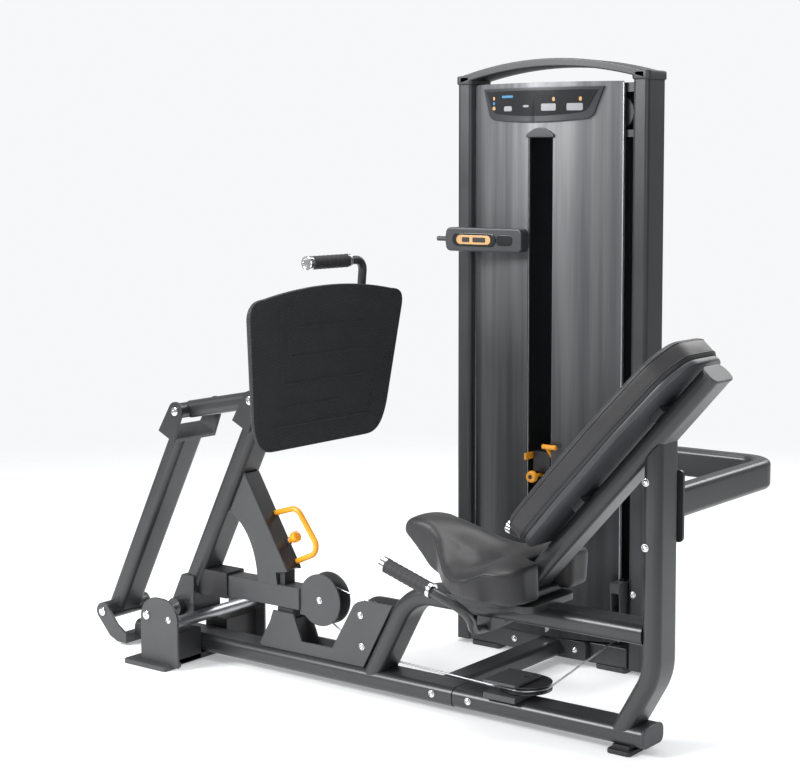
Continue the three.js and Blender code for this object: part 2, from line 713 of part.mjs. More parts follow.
function buildCarriage() {
  const add = assembly();
  const sleeve = (x) => barY(x, 0, 22, beside(EAR_IN - 1));
  const bore = (x) => barY(x, 0, PIN_RADIUS + ROOM, beside(EAR_IN + 20));
  const beam = endPlate(roundRect(98, 50, 20, MID_Y, 0), [6, COUPLER_END], 3);
  add("coupler", onCoupler(cut(join(beam, sleeve(0), sleeve(LINK_LENGTH)), bore(0),
    bore(LINK_LENGTH))), FINISH.frame);
  const backX = [-54, -8 - GAP];
  const channel = (y) => block(backX, y, [20, 330]);
  const carrier = join(
    block([-20, -8 - GAP], beside(90), [20, 330]),
    channel([MID_Y - 70, MID_Y - 62]),
    channel([MID_Y + 62, MID_Y + 70]),
    block([-20, -8 - GAP], beside(220), [170, 250]),
  );
  const back = endPlate(footplateOutline(8), [-10, 0], 6);
  add("footplate_carrier", cut(leaned(join(carrier, back)), onCoupler(
    endPlate(roundRect(99, 51, 20, MID_Y, 0), [-40, COUPLER_END + GAP], 3),
  )), FINISH.frame);
  add("footplate_pad", leaned(endPlate(footplateOutline(), [GAP, PLATE.pad], 6)), FINISH.rubber);
  const [handleX, handleZ] = [-34, 494];
  const path = [point(handleX, MID_Y, handleZ), point(handleX, 238, handleZ),
    point(handleX, 238, 180)];
  const stem = curvedBarBend(path);
  add("top_handle", leaned(stem), FINISH.frame);
  add("top_grip", leaned(cut(
    barY(handleX, handleZ, 19, [-10, 172], 20),
    barY(handleX, handleZ, 13.4, [-20, 180], 12),
  )), FINISH.rubber);
}

function curvedBarBend(corners) {
  return bentTube(corners, 32, 24, 24, 11.9, point(1, 0, 0));
}

// ---------------------------------------------------------------- weight tower

// An arc of constant wall in plan, bulging towards -Y (sign -1) or +Y (sign 1).
function bowedWall(left, right, edgeY, sagitta, wall, sign) {
  const half = (right - left) / 2;
  const radius = (half * half + sagitta * sagitta) / (2 * sagitta);
  const centre = { x: (left + right) / 2, y: edgeY - sign * (radius - sagitta) };
  const spread = Math.asin(half / radius);
  const facing = sign * Math.PI / 2;
  const shape = new THREE.Shape();
  shape.absarc(centre.x, centre.y, radius, facing - spread, facing + spread, false);
  shape.absarc(centre.x, centre.y, radius - wall, facing + spread, facing - spread, true);
  shape.closePath();
  return shape;
}

const shroudWall = (extra = 0, wall = SHROUD.wall) =>
  bowedWall(SHROUD.left, SHROUD.right, SHROUD.edge - extra, SHROUD.sagitta, wall, -1);

function buildTower() {
  const add = assembly();
  const postX = { left: TOWER.left + TOWER.post / 2, right: TOWER.right - TOWER.post / 2 };
  const midY = TOWER.front + TOWER.depth / 2;
  const inner = [TOWER.left + TOWER.post + GAP, TOWER.right - TOWER.post - GAP];
  Object.entries(postX).forEach(([side, x]) => {
    add(`tower_post_${side}`, topPlate(roundRect(TOWER.post, TOWER.depth, 12, x, midY),
      [12, TOWER.top], 3), FINISH.frame);
  });
  const foot = (x) => topPlate(roundRect(100, 108, 10, x, midY), [0, 14], 4);
  add("tower_base", join(
    block(inner, [TOWER.front, TOWER.front + TOWER.depth], [12, 72]), foot(-834), foot(-407),
  ), FINISH.frame);
  add("top_cap", topCap(Object.values(postX), midY), FINISH.plastic);
  add("front_shroud", frontShroud(), FINISH.silver);
  add("rear_shroud", topPlate(
    bowedWall(inner[0] + 1, inner[1] - 1, 700, 38, 4, 1),
    [SHROUD.bottom, SHROUD.top], 10,
  ), FINISH.plastic);
  add("placard", placard(), FINISH.plastic);
  add("pulley_frame", pulleyFrame(inner), FINISH.frame);
  [["guide_rod_left", ROD.left], ["guide_rod_right", ROD.right]].forEach(([name, x]) =>
    add(name, barZ(x, ROD.y, ROD.radius, [72 + GAP, 1500 - GAP]), FINISH.chrome));
  [["top_pulley_centre", TOP_PULLEYS[0]], ["top_pulley_side", TOP_PULLEYS[1]]]
    .forEach(([name, x]) => {
      const wheel = { x, z: TOP_PULLEY_Z, groove: TOP_GROOVE };
      add(name, pulleyY(wheel, [ROD.y - 11, ROD.y + 11], 8), FINISH.iron);
    });
  buildTowerPulley(add);
  buildRepCounter(add);
}

const TOP_GROOVE = 42;
const TOP_PULLEY_Z = 1568;
const TOP_PULLEYS = [
  CABLE_X + TOP_GROOVE + CABLE_SEAT,
  SIDE_CABLE_X - TOP_GROOVE - CABLE_SEAT,
];

// A cap on each post and the arched roof between them, moulded in one.
function topCap(postX, midY) {
  const [left, right] = [TOWER.left + 10, TOWER.right - 10];
  const middle = (left + right) / 2;
  const arch = new THREE.Shape();
  arch.moveTo(left, TOWER.top + 2);
  arch.quadraticCurveTo(middle, 1742, right, TOWER.top + 2);
  arch.lineTo(right, TOWER.top + 24);
  arch.quadraticCurveTo(middle, 1766, left, TOWER.top + 24);
  arch.closePath();
  const caps = postX.map((x) => topPlate(
    roundRect(TOWER.post + 8, TOWER.depth + 8, 14, x, midY), [TOWER.top + GAP, TOWER.top + 26], 4,
  ));
  return join(sidePlate(arch, [TOWER.front - 4, TOWER.front + TOWER.depth + 4], 12), ...caps);
}

function frontShroud() {
  const slot = new THREE.Shape();
  const middle = (SLOT.left + SLOT.right) / 2;
  slot.moveTo(SLOT.left, SLOT.bottom);
  slot.lineTo(SLOT.right, SLOT.bottom);
  slot.lineTo(SLOT.right, SLOT.top);
  slot.quadraticCurveTo(middle, SLOT.top + 44, SLOT.left, SLOT.top);
  slot.closePath();
  return cut(
    topPlate(shroudWall(), [SHROUD.bottom, SHROUD.top], 14),
    sidePlate(slot, [500, 660]),
  );
}

function placard() {
  const [middle, top, bottom] = [(SHROUD.left + SHROUD.right) / 2, 1640, 1542];
  const outline = new THREE.Shape();
  outline.moveTo(middle - 202, top);
  outline.lineTo(middle + 202, top);
  outline.lineTo(middle + 176, bottom + 24);
  outline.quadraticCurveTo(middle + 168, bottom + 10, middle + 150, bottom + 8);
  outline.quadraticCurveTo(middle, bottom - 8, middle - 150, bottom + 8);
  outline.quadraticCurveTo(middle - 168, bottom + 10, middle - 176, bottom + 24);
  outline.closePath();
  return common(
    topPlate(shroudWall(12, 9.5), [1500, 1700], 14),
    sidePlate(outline, [500, 700], 6),
  );
}

// A beam that carries the top pulleys, joined at its ends to the beam that locates the rods.
function pulleyFrame(inner) {
  const beamY = [ROD.y - 15, ROD.y + 28];
  const ends = [[inner[0], inner[0] + 6], [inner[1] - 6, inner[1]]]
    .map((x) => block(x, beamY, [1500, 1650]));
  const cheeks = TOP_PULLEYS.flatMap((x) =>
    [[ROD.y - 20, ROD.y - 14], [ROD.y + 14, ROD.y + 20]].map((y) =>
      block([x - 15, x + 15], y, [TOP_PULLEY_Z - 18, 1625])),
  );
  const bores = TOP_PULLEYS.map((x) =>
    barY(x, TOP_PULLEY_Z, PIN_RADIUS + ROOM, [ROD.y - 30, ROD.y + 30]));
  return cut(
    join(block(inner, beamY, [1624, 1650]), block(inner, beamY, [1500, 1520]), ...ends, ...cheeks),
    ...bores,
    barZ(CABLE_X, ROD.y, 10, [1490, 1530]),
    barZ(SIDE_CABLE_X, ROD.y, 10, [1490, 1530]),
  );
}

// The pulley at the tower's foot that turns the cable from the rail up the tower.
function buildTowerPulley(add) {
  const groove = 42;
  const seat = groove + CABLE_SEAT;
  const centre = { y: ROD.y - seat, z: RAIL_PULLEY.z + seat };
  const wheel = pulleyY({ x: 0, z: 0, groove }, [-9, 9], 7).rotateZ(Math.PI / 2)
    .translate(SIDE_CABLE_X, centre.y, centre.z);
  add("tower_pulley", wheel, FINISH.iron);
  const cheek = new THREE.Shape();
  cheek.absarc(centre.y, centre.z, 30, Math.PI, 2 * Math.PI);
  cheek.lineTo(centre.y + 30, 262);
  cheek.lineTo(centre.y - 42, 262);
  cheek.closePath();
  cheek.holes.push(pinHole(centre.y, centre.z));
  const x = SIDE_CABLE_X;
  add("tower_pulley_bracket", join(
    endPlate(cheek, [x - 16, x - 12]),
    endPlate(cheek, [x + 12, x + 16]),
    block([x - 14, x + 14], [centre.y - 42, centre.y - 4], [234, 262]),
  ), FINISH.frame);
}

function buildRepCounter(add) {
  add("rep_counter", join(
    sidePlate(roundRect(262, 68, 16, -780, 1210), [500, 540], 4),
    barX(520, 1210, 7, [-952, -905]),
    block([-925, -897], [520, TOWER.front - GAP], [1195, 1225]),
    block([-925, -880], [520, 538], [1195, 1225]),
  ), FINISH.plastic);
}

// ---------------------------------------------------------------- weight stack

// A stack in side view, with a groove between plates at front and back.
function stackProfile({ front, back, bottom, top, plate }) {
  const count = Math.round((top - bottom) / plate);
  const step = (top - bottom) / count;
  const rise = Array.from({ length: count }, (_, i) => bottom + i * step).flatMap((z, i) => [
    [back - (i ? 3 : 0), z], [back, z + 2], [back, z + step - 2], [back - 3, z + step],
  ]);
  const mirrored = rise.map(([y, z]) => [front + back - y, z]).reverse();
  return polygon([...rise, ...mirrored].filter(([y, z], i, all) => {
    const [py, pz] = all[(i + all.length - 1) % all.length];
    return y !== py || z !== pz;
  }));
}

function buildStack() {
  const add = assembly();
  const rodWays = [ROD.left, ROD.right].map((x) => barZ(x, ROD.y, ROD.radius + 2, [60, 700]));
  const selectorWay = barZ(CABLE_X, ROD.y, 11, [60, 527]);
  const pinZ = STACK.top + GAP + STACK.plate / 2;
  const pinX = -639;
  add("weight_stack", cut(
    endPlate(stackProfile(STACK), [STACK.left, STACK.right]), ...rodWays, selectorWay,
  ), FINISH.iron);
  const plateZ = [STACK.top + GAP, STACK.top + STACK.plate];
  add("top_plate", cut(
    join(
      block([STACK.left, STACK.right], [STACK.front, STACK.back], plateZ),
      block([-656, -600], [580, 690], [plateZ[1] - 1, 606]),
    ),
    ...rodWays,
    barZ(CABLE_X, ROD.y, 16, [plateZ[1], 620]),
    barZ(CABLE_X, ROD.y, 8 + GAP, [500, 600]),
    barY(pinX, pinZ, 5 + ROOM, [560, 645]),
    barX(590, 592, 5.8, [-700, -560]),
  ), FINISH.iron);
  add("selector_rod", join(
    barZ(CABLE_X, ROD.y, 8, [150, 640]),
    barZ(CABLE_X, ROD.y, 13, [STACK.top + STACK.plate + GAP, 562]),
    barZ(CABLE_X, ROD.y, 11, [632, 652]),
  ), FINISH.chrome);
  add("increment_lever", incrementLever(), FINISH.yellow);
  const pin = [[0, -40], [5, -38], [5, 45], [12, 46], [17, 50], [17, 62], [13, 66], [0, 66]]
    .map(([r, h]) => new THREE.Vector2(r, h));
  add("selector_pin", new THREE.LatheGeometry(pin, 20).rotateX(Math.PI).translate(pinX, 602, pinZ),
    FINISH.yellow);
}

// A cross shaft through the increment block with a hooked tab and a T-shaped finger bar.
function incrementLever() {
  return join(
    barX(590, 592, 5, [-668, -590]),
    block([-667, -660], [548, 597], [584, 602]),
    endPlate(polygon([[585, 586], [597, 596], [556, 632], [546, 626]]), [-597, -590]),
    barX(551, 627, 7, [-606, -562]),
  );
}

// ---------------------------------------------------------------- cables and rail pulley

function buildRailPulley() {
  const add = assembly();
  const { x, y, z, groove } = RAIL_PULLEY;
  const wheel = pulleyY({ x: 0, z: 0, groove }, [-10, 10], 9).rotateX(Math.PI / 2)
    .translate(x, y, z);
  add("rail_pulley", wheel, FINISH.iron);
  const railTop = RAIL.top + GAP;
  const guard = new THREE.Shape();
  guard.moveTo(x + 18, y - 84);
  guard.lineTo(x + 18, y + 40);
  guard.lineTo(x - 78, y + 40);
  guard.lineTo(x - 78, y - 84);
  guard.closePath();
  guard.holes.push(pinHole(x, y));
  add("rail_pulley_bracket", join(
    topPlate(guard, [z + 13, z + 20]),
    topPlate(guard, [railTop, z - 13]),
    block([x - 78, x - 70], [y - 20, y + 40], [railTop, z + 19]),
  ), FINISH.frame);
}

function buildCables() {
  const add = assembly();
  const towerSeat = TOP_GROOVE + CABLE_SEAT;
  const z = RAIL_PULLEY.z;
  const railPoint = point(SIDE_CABLE_X, 575, z);
  const upTower = roundedCorners([
    railPoint.clone().add(point(0, -1, 0)),
    point(SIDE_CABLE_X, ROD.y, z),
    point(SIDE_CABLE_X, ROD.y, 1500),
  ], towerSeat, 6);
  const overTop = roundedCorners([
    point(SIDE_CABLE_X, ROD.y, 1499),
    point(SIDE_CABLE_X, ROD.y, TOP_PULLEY_Z + towerSeat),
    point(CABLE_X, ROD.y, TOP_PULLEY_Z + towerSeat),
    point(CABLE_X, ROD.y, 1522),
  ], towerSeat, 6);
  add("main_cable", join(
    cable(alongRail(railPoint), point(0, 0, 1)),
    cable(upTower, point(1, 0, 0)),
    cable(overTop, point(0, 1, 0)),
  ), FINISH.steel);
  add("stack_cable", barZ(CABLE_X, ROD.y, CABLE_RADIUS, [652 + GAP, 1522 - GAP], 8), FINISH.steel);
  add("lever_cable", cable(leverRun(), point(0, 1, 0)), FINISH.steel);
}

function cable(points, planeNormal) {
  const ring = new THREE.Shape().absarc(0, 0, CABLE_RADIUS, 0, 2 * Math.PI);
  return new THREE.ExtrudeGeometry(ring, {
    steps: points.length - 1,
    extrudePath: new FlatPath(points, planeNormal),
    curveSegments: 4,
  });
}

// Points round a pulley's circle, from one angle to another, in degrees.
function wrap(centre, radius, [from, to], steps, place) {
  return Array.from({ length: steps + 1 }, (_, k) => {
    const angle = THREE.MathUtils.degToRad(from + (to - from) * (k / steps));
    return place(centre[0] + radius * Math.cos(angle), centre[1] + radius * Math.sin(angle));
  });
}

// Level from under the lower pulley, round the rail pulley and across to the tower.
function alongRail(end) {
  const { x, y, z, groove } = RAIL_PULLEY;
  const place = (u, v) => point(u, v, z);
  const seat = groove + CABLE_SEAT;
  return [
    point(LOWER_PULLEY.x + 2, MID_Y, z),
    ...wrap([x, y], seat, [-94, 11], 8, place),
    end,
  ];
}

// From its anchor drum round the lever's pulley and down under the lower one.
function leverRun() {
  const over = (wheel, angles, steps) =>
    wrap([wheel.x, wheel.z], wheel.groove + CABLE_SEAT, angles, steps, inSidePlane);
  return [
    ...over(CABLE_ANCHOR, [40, 84], 3),
    ...over(LEVER_PULLEY, [84, 238], 9),
    ...over(LOWER_PULLEY, [238, 268], 3),
  ];
}

// ---------------------------------------------------------------- the whole machine

buildBase();
buildStop();
buildSeatFrame();
buildSeat();
buildRearBracket();
buildRearLink();
buildPressArm();
buildCarriage();
buildPivotPins();
buildTower();
buildStack();
buildRailPulley();
buildCables();

const footprint = new THREE.Box3().setFromObject(machine);
const centre = footprint.getCenter(new THREE.Vector3());
machine.position.set(-centre.x, -centre.y, 0);

export default machine;
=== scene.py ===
"""Looks for a seated leg press: welded oval-tube frame, four-bar footplate, saddle seat and weight tower."""

import logging
import math
from dataclasses import dataclass
from enum import Enum

import bmesh
import bpy
from mathutils import Matrix, Vector
from mathutils.bvhtree import BVHTree

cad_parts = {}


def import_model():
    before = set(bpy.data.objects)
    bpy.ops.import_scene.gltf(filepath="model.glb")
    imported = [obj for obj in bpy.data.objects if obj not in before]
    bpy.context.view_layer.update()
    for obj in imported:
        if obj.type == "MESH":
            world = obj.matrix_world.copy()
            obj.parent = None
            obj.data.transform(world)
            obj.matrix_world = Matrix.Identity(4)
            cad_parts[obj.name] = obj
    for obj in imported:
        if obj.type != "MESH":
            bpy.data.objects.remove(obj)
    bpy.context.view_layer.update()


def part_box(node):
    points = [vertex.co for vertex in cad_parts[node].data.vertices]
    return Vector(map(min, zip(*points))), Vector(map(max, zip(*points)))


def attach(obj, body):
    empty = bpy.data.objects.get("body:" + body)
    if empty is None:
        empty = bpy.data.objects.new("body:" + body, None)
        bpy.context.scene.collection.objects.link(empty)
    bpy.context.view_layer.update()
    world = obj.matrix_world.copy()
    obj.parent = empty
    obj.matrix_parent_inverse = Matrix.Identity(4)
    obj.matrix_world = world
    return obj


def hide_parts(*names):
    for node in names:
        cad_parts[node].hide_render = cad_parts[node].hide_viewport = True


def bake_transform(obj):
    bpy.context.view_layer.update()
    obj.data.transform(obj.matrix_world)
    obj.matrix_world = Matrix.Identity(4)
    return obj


LOG = logging.getLogger("leg_press")
MM = 0.001
MID_Y = 52.0  # the plane that the rail, seat and linkage share, in the rail's own frame
RAIL_LEFT = -1690.0
SMOOTH_BELOW = math.radians(34)


class Axis(Enum):
    """The direction that a plate, bar or bolt runs along."""

    X = Vector((1, 0, 0))
    Y = Vector((0, 1, 0))
    Z = Vector((0, 0, 1))


class Datum:
    """The rail's own frame, in millimetres from the foot of the seat upright."""

    def __init__(self) -> None:
        """Reads the frame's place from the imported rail."""
        low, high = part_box("rail_front")
        self.origin = Vector((low[0] - RAIL_LEFT * MM, (low[1] + high[1]) / 2 - MID_Y * MM, 0))

    def at(self, x: float, y: float, z: float) -> Vector:
        """Gives a point of the rail's frame in the model's frame."""
        return self.origin + Vector((x, y, z)) * MM


# ---------------------------------------------------------------- shader maths


class Socket:
    """A shader output whose arithmetic adds Math nodes."""

    def __init__(self, graph: "Graph", output: bpy.types.NodeSocket) -> None:
        """Keeps the graph that the socket belongs to."""
        self.graph = graph
        self.output = output

    def _math(self, operation: str, first: object, second: object) -> "Socket":
        """Adds one Math node."""
        return self.graph.node("ShaderNodeMath", {"operation": operation}, {0: first, 1: second})

    def __add__(self, other: object) -> "Socket":
        """Adds."""
        return self._math("ADD", self, other)

    def __sub__(self, other: object) -> "Socket":
        """Subtracts."""
        return self._math("SUBTRACT", self, other)

    def __rsub__(self, other: object) -> "Socket":
        """Subtracts from a number."""
        return self._math("SUBTRACT", other, self)

    def __mul__(self, other: object) -> "Socket":
        """Multiplies."""
        return self._math("MULTIPLY", self, other)

    __radd__ = __add__
    __rmul__ = __mul__


class Graph:
    """The node tree of one material."""

    def __init__(self, name: str) -> None:
        """Starts an empty material with its shader and output."""
        self.material = bpy.data.materials.new(name)
        self.material.use_nodes = True
        self.tree = self.material.node_tree
        self.tree.nodes.clear()
        self.shader = self.tree.nodes.new("ShaderNodeBsdfPrincipled")
        target = self.tree.nodes.new("ShaderNodeOutputMaterial")
        self.tree.links.new(self.shader.outputs[0], target.inputs[0])

    def plug(self, socket: bpy.types.NodeSocket, value: object) -> None:
        """Links a socket, or sets its constant."""
        if isinstance(value, Socket):
            self.tree.links.new(value.output, socket)
        else:
            socket.default_value = value

    def node(self, kind: str, settings: dict, values: dict, output: object = 0) -> Socket:
        """Adds a node.

        Args:
            kind: The node's type.
            settings: Its properties, with a ramp's stops as a list of (place, colour).
            values: Its sockets' constants or links.
            output: The output wanted.

        Returns:
            The wrapped output.
        """
        made = self.tree.nodes.new(kind)
        for key, setting in settings.items():
            if key == "stops":
                ramp = made.color_ramp
                while len(ramp.elements) < len(setting):
                    ramp.elements.new(1.0)
                for element, (place, colour) in zip(ramp.elements, setting, strict=True):
                    element.position, element.color = place, (*colour, 1.0)
            else:
                setattr(made, key, setting)
        for key, value in values.items():
            self.plug(made.inputs[key], value)
        return Socket(self, made.outputs[output])

    def place(self, scale: tuple[float, float, float] = (1, 1, 1), turn: float = 0.0) -> Socket:
        """Gives Object coordinates, scaled and turned about Y."""
        where = self.node("ShaderNodeTexCoord", {}, {}, "Object")
        return self.node("ShaderNodeMapping", {}, {
            "Vector": where, "Scale": scale, "Rotation": (0, turn, 0)})

    def noise(self, vector: Socket, scale: float, detail: float = 3.0) -> Socket:
        """Gives fractal noise from 0 to 1."""
        return self.node("ShaderNodeTexNoise", {}, {
            "Vector": vector, "Scale": scale, "Detail": detail}, "Fac")

    def blend(self, factor: Socket, low: tuple, high: tuple) -> Socket:
        """Blends two colours by a factor."""
        return self.node("ShaderNodeValToRGB", {"stops": [(0.3, low), (0.7, high)]}, {0: factor})

    def bump(self, height: Socket, distance: float, strength: float = 1.0) -> Socket:
        """Turns a height into a normal."""
        return self.node("ShaderNodeBump", {}, {
            "Height": height, "Distance": distance, "Strength": strength})

    def set(self, **values: object) -> None:
        """Sets the shader's sockets, with underscores for the spaces in their names."""
        for key, value in values.items():
            self.plug(self.shader.inputs[key.replace("_", " ")], value)


def shade(colour: tuple[float, float, float], factor: float) -> tuple[float, float, float]:
    """Scales a colour's brightness."""
    return tuple(min(1.0, c * factor) for c in colour)


# ---------------------------------------------------------------- finishes


@dataclass(frozen=True)
class PowderCoat:
    """Sprayed coating with fine orange peel and handling wear in its gloss."""

    name: str
    colour: tuple[float, float, float]
    rough: float = 0.36

    def build(self) -> bpy.types.Material:
        """Makes the material."""
        g = Graph(self.name)
        cloud = g.noise(g.place(), 7.0, 4.0)
        peel = g.noise(g.place(), 1300.0, 1.0) + 0.5 * g.noise(g.place(), 420.0, 1.0)
        g.set(Base_Color=g.blend(cloud, shade(self.colour, 0.88), shade(self.colour, 1.14)),
              Roughness=cloud * 0.12 + (self.rough - 0.06), Normal=g.bump(peel, 0.00006, 0.7))
        g.shader.inputs["Coat Weight"].default_value = 0.12
        g.shader.inputs["Coat Roughness"].default_value = 0.2
        return g.material


@dataclass(frozen=True)
class Vinyl:
    """Upholstery vinyl with pebbled grain, and creases where it is sat on."""

    name: str
    colour: tuple[float, float, float]

    def build(self) -> bpy.types.Material:
        """Makes the material."""
        g = Graph(self.name)
        grain = g.node("ShaderNodeTexVoronoi", {"feature": "SMOOTH_F1"}, {
            "Vector": g.place(), "Scale": 620.0, "Smoothness": 0.6}, "Distance")
        crease = g.noise(g.place((1, 2.2, 1)), 24.0, 5.0)
        wear = g.noise(g.place(), 5.0, 3.0)
        g.set(Base_Color=g.blend(wear, shade(self.colour, 0.82), shade(self.colour, 1.22)),
              Roughness=wear * 0.14 + grain * 0.08 + 0.36,
              Normal=g.bump(grain * -1.0 + crease * 0.9, 0.0004, 0.55))
        g.shader.inputs["Sheen Weight"].default_value = 0.08
        return g.material


@dataclass(frozen=True)
class TreadRubber:
    """Moulded rubber with a fine diagonal diamond tread."""

    name: str
    colour: tuple[float, float, float]
    pitch: float = 430.0

    def build(self) -> bpy.types.Material:
        """Makes the material."""
        g = Graph(self.name)
        waves = [g.node("ShaderNodeTexWave", {"bands_direction": "DIAGONAL"}, {
            "Vector": g.place((0, side, 1.35)), "Scale": self.pitch / 9, "Distortion": 0.4,
            "Detail": 1.0}, "Fac") for side in (1.0, -1.0)]
        cloud = g.noise(g.place(), 9.0, 3.0)
        tread = waves[0] * waves[1]
        g.set(Base_Color=g.blend(cloud, shade(self.colour, 0.85), shade(self.colour, 1.2)),
              Roughness=tread * -0.14 + cloud * 0.08 + 0.6, Normal=g.bump(tread, 0.0012, 0.75))
        return g.material


@dataclass(frozen=True)
class PlainRubber:
    """Dense rubber with a dusty, slightly porous face."""

    name: str
    colour: tuple[float, float, float]

    def build(self) -> bpy.types.Material:
        """Makes the material."""
        g = Graph(self.name)
        dust = g.noise(g.place(), 60.0, 6.0)
        g.set(Base_Color=g.blend(dust, shade(self.colour, 0.8), shade(self.colour, 1.3)),
              Roughness=dust * 0.2 + 0.55, Normal=g.bump(g.noise(g.place(), 800.0), 0.0002, 0.6))
        return g.material


@dataclass(frozen=True)
class Metal:
    """Bare or plated metal with faint turning marks."""

    name: str
    colour: tuple[float, float, float]
    rough: float

    def build(self) -> bpy.types.Material:
        """Makes the material."""
        g = Graph(self.name)
        smear = g.noise(g.place(), 45.0, 4.0)
        marks = g.noise(g.place((1, 1, 14)), 160.0, 2.0)
        g.shader.inputs["Metallic"].default_value = 1.0
        g.set(Base_Color=g.blend(smear, shade(self.colour, 0.9), shade(self.colour, 1.05)),
              Roughness=smear * 0.08 + marks * 0.05 + self.rough,
              Normal=g.bump(marks, 0.00004, 0.4))
        return g.material


@dataclass(frozen=True)
class BrushedPanel:
    """Metallic tower panel with upright streaks, painted light at the top and painted shade at the foot."""

    name: str
    foot_z: float
    head_z: float

    def build(self) -> bpy.types.Material:
        """Makes the material."""
        g = Graph(self.name)
        # Painted light and shade: the colour runs from dark at the panel's foot to light at its top.
        height = g.node("ShaderNodeSeparateXYZ", {}, {0: g.place()}, 2)
        rise = g.node("ShaderNodeMapRange", {}, {
            "Value": height, "From Min": self.foot_z, "From Max": self.head_z})
        painted_height_light = g.node("ShaderNodeValToRGB", {"stops": [
            (0.0, (0.035, 0.036, 0.038)), (0.35, (0.085, 0.087, 0.09)),
            (0.75, (0.2, 0.203, 0.207)), (1.0, (0.3, 0.305, 0.31))]}, {0: rise})
        streaks = g.noise(g.place((1, 1, 0.03)), 34.0, 3.0)
        hair = g.noise(g.place((1, 1, 0.012)), 420.0, 2.0)
        dark = g.blend(streaks, (0.55, 0.56, 0.58), (1.0, 1.0, 1.0))
        tint = g.node("ShaderNodeMix", {"data_type": "RGBA", "blend_type": "MULTIPLY"}, {
            0: 1.0, 6: painted_height_light, 7: dark}, 2)
        g.shader.inputs["Metallic"].default_value = 0.55
        g.set(Base_Color=tint, Roughness=hair * 0.14 + streaks * 0.1 + 0.26,
              Normal=g.bump(hair, 0.00005, 0.5))
        return g.material


@dataclass(frozen=True)
class Moulding:
    """Moulded plastic with a fine spark-eroded texture."""

    name: str
    colour: tuple[float, float, float]
    rough: float = 0.42

    def build(self) -> bpy.types.Material:
        """Makes the material."""
        g = Graph(self.name)
        cloud = g.noise(g.place(), 12.0, 3.0)
        g.set(Base_Color=g.blend(cloud, shade(self.colour, 0.9), shade(self.colour, 1.1)),
              Roughness=cloud * 0.1 + self.rough - 0.05,
              Normal=g.bump(g.noise(g.place(), 900.0, 2.0), 0.00008, 0.6))
        return g.material


@dataclass(frozen=True)
class Palette:
    """Every finish on the machine."""

    frame: bpy.types.Material
    # plate: the frame's charcoal coat painted lighter, as painted light on plate faces that face the key
    # lamp.
    plate: bpy.types.Material
    vinyl: bpy.types.Material
    piping: bpy.types.Material
    tread: bpy.types.Material
    rubber: bpy.types.Material
    chrome: bpy.types.Material
    steel: bpy.types.Material
    yellow: bpy.types.Material
    panel: bpy.types.Material
    plastic: bpy.types.Material
    gloss: bpy.types.Material
    iron_and_shade: bpy.types.Material
    pale: bpy.types.Material
    blue: bpy.types.Material
    lamp: bpy.types.Material

    @staticmethod
    def mixed() -> "Palette":
        """Builds each finish once."""
        low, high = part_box("front_shroud")
        return Palette(
            PowderCoat("charcoal_coat", (0.024, 0.025, 0.027)).build(),
            # The plates' coat is the frame's coat painted lighter: painted light on their near faces.
            PowderCoat("charcoal_coat_painted_lit", (0.046, 0.047, 0.05), 0.44).build(),
            Vinyl("black_vinyl", (0.013, 0.013, 0.0145)).build(),
            # Near-black vinyl: the piping's own colour, and painted shade on the foot mat's moulded lines.
            Vinyl("piping_and_line_shade_vinyl", (0.004, 0.004, 0.005)).build(),
            TreadRubber("tread_rubber", (0.014, 0.015, 0.017)).build(),
            PlainRubber("grip_rubber", (0.02, 0.02, 0.022)).build(),
            Metal("chrome_plate", (0.82, 0.83, 0.85), 0.07).build(),
            Metal("plain_steel", (0.42, 0.43, 0.45), 0.28).build(),
            PowderCoat("signal_yellow", (0.86, 0.36, 0.018), 0.3).build(),
            BrushedPanel("brushed_panel", low[2], high[2]).build(),
            Moulding("satin_moulding", (0.034, 0.036, 0.04)).build(),
            Moulding("gloss_moulding", (0.018, 0.019, 0.021), 0.16).build(),
            # This black finish is the real colour of the weights, pulleys and counter blanks, and is also
            # painted shade on the dark fills in the front foot and the lever.
            PowderCoat("black_iron_and_painted_shade", (0.014, 0.014, 0.016), 0.5).build(),
            Moulding("pale_print", (0.3, 0.31, 0.33)).build(),
            Moulding("blue_print", (0.05, 0.2, 0.36)).build(),
            Moulding("warm_window", (0.6, 0.36, 0.16), 0.2).build(),
        )


# ---------------------------------------------------------------- outlines


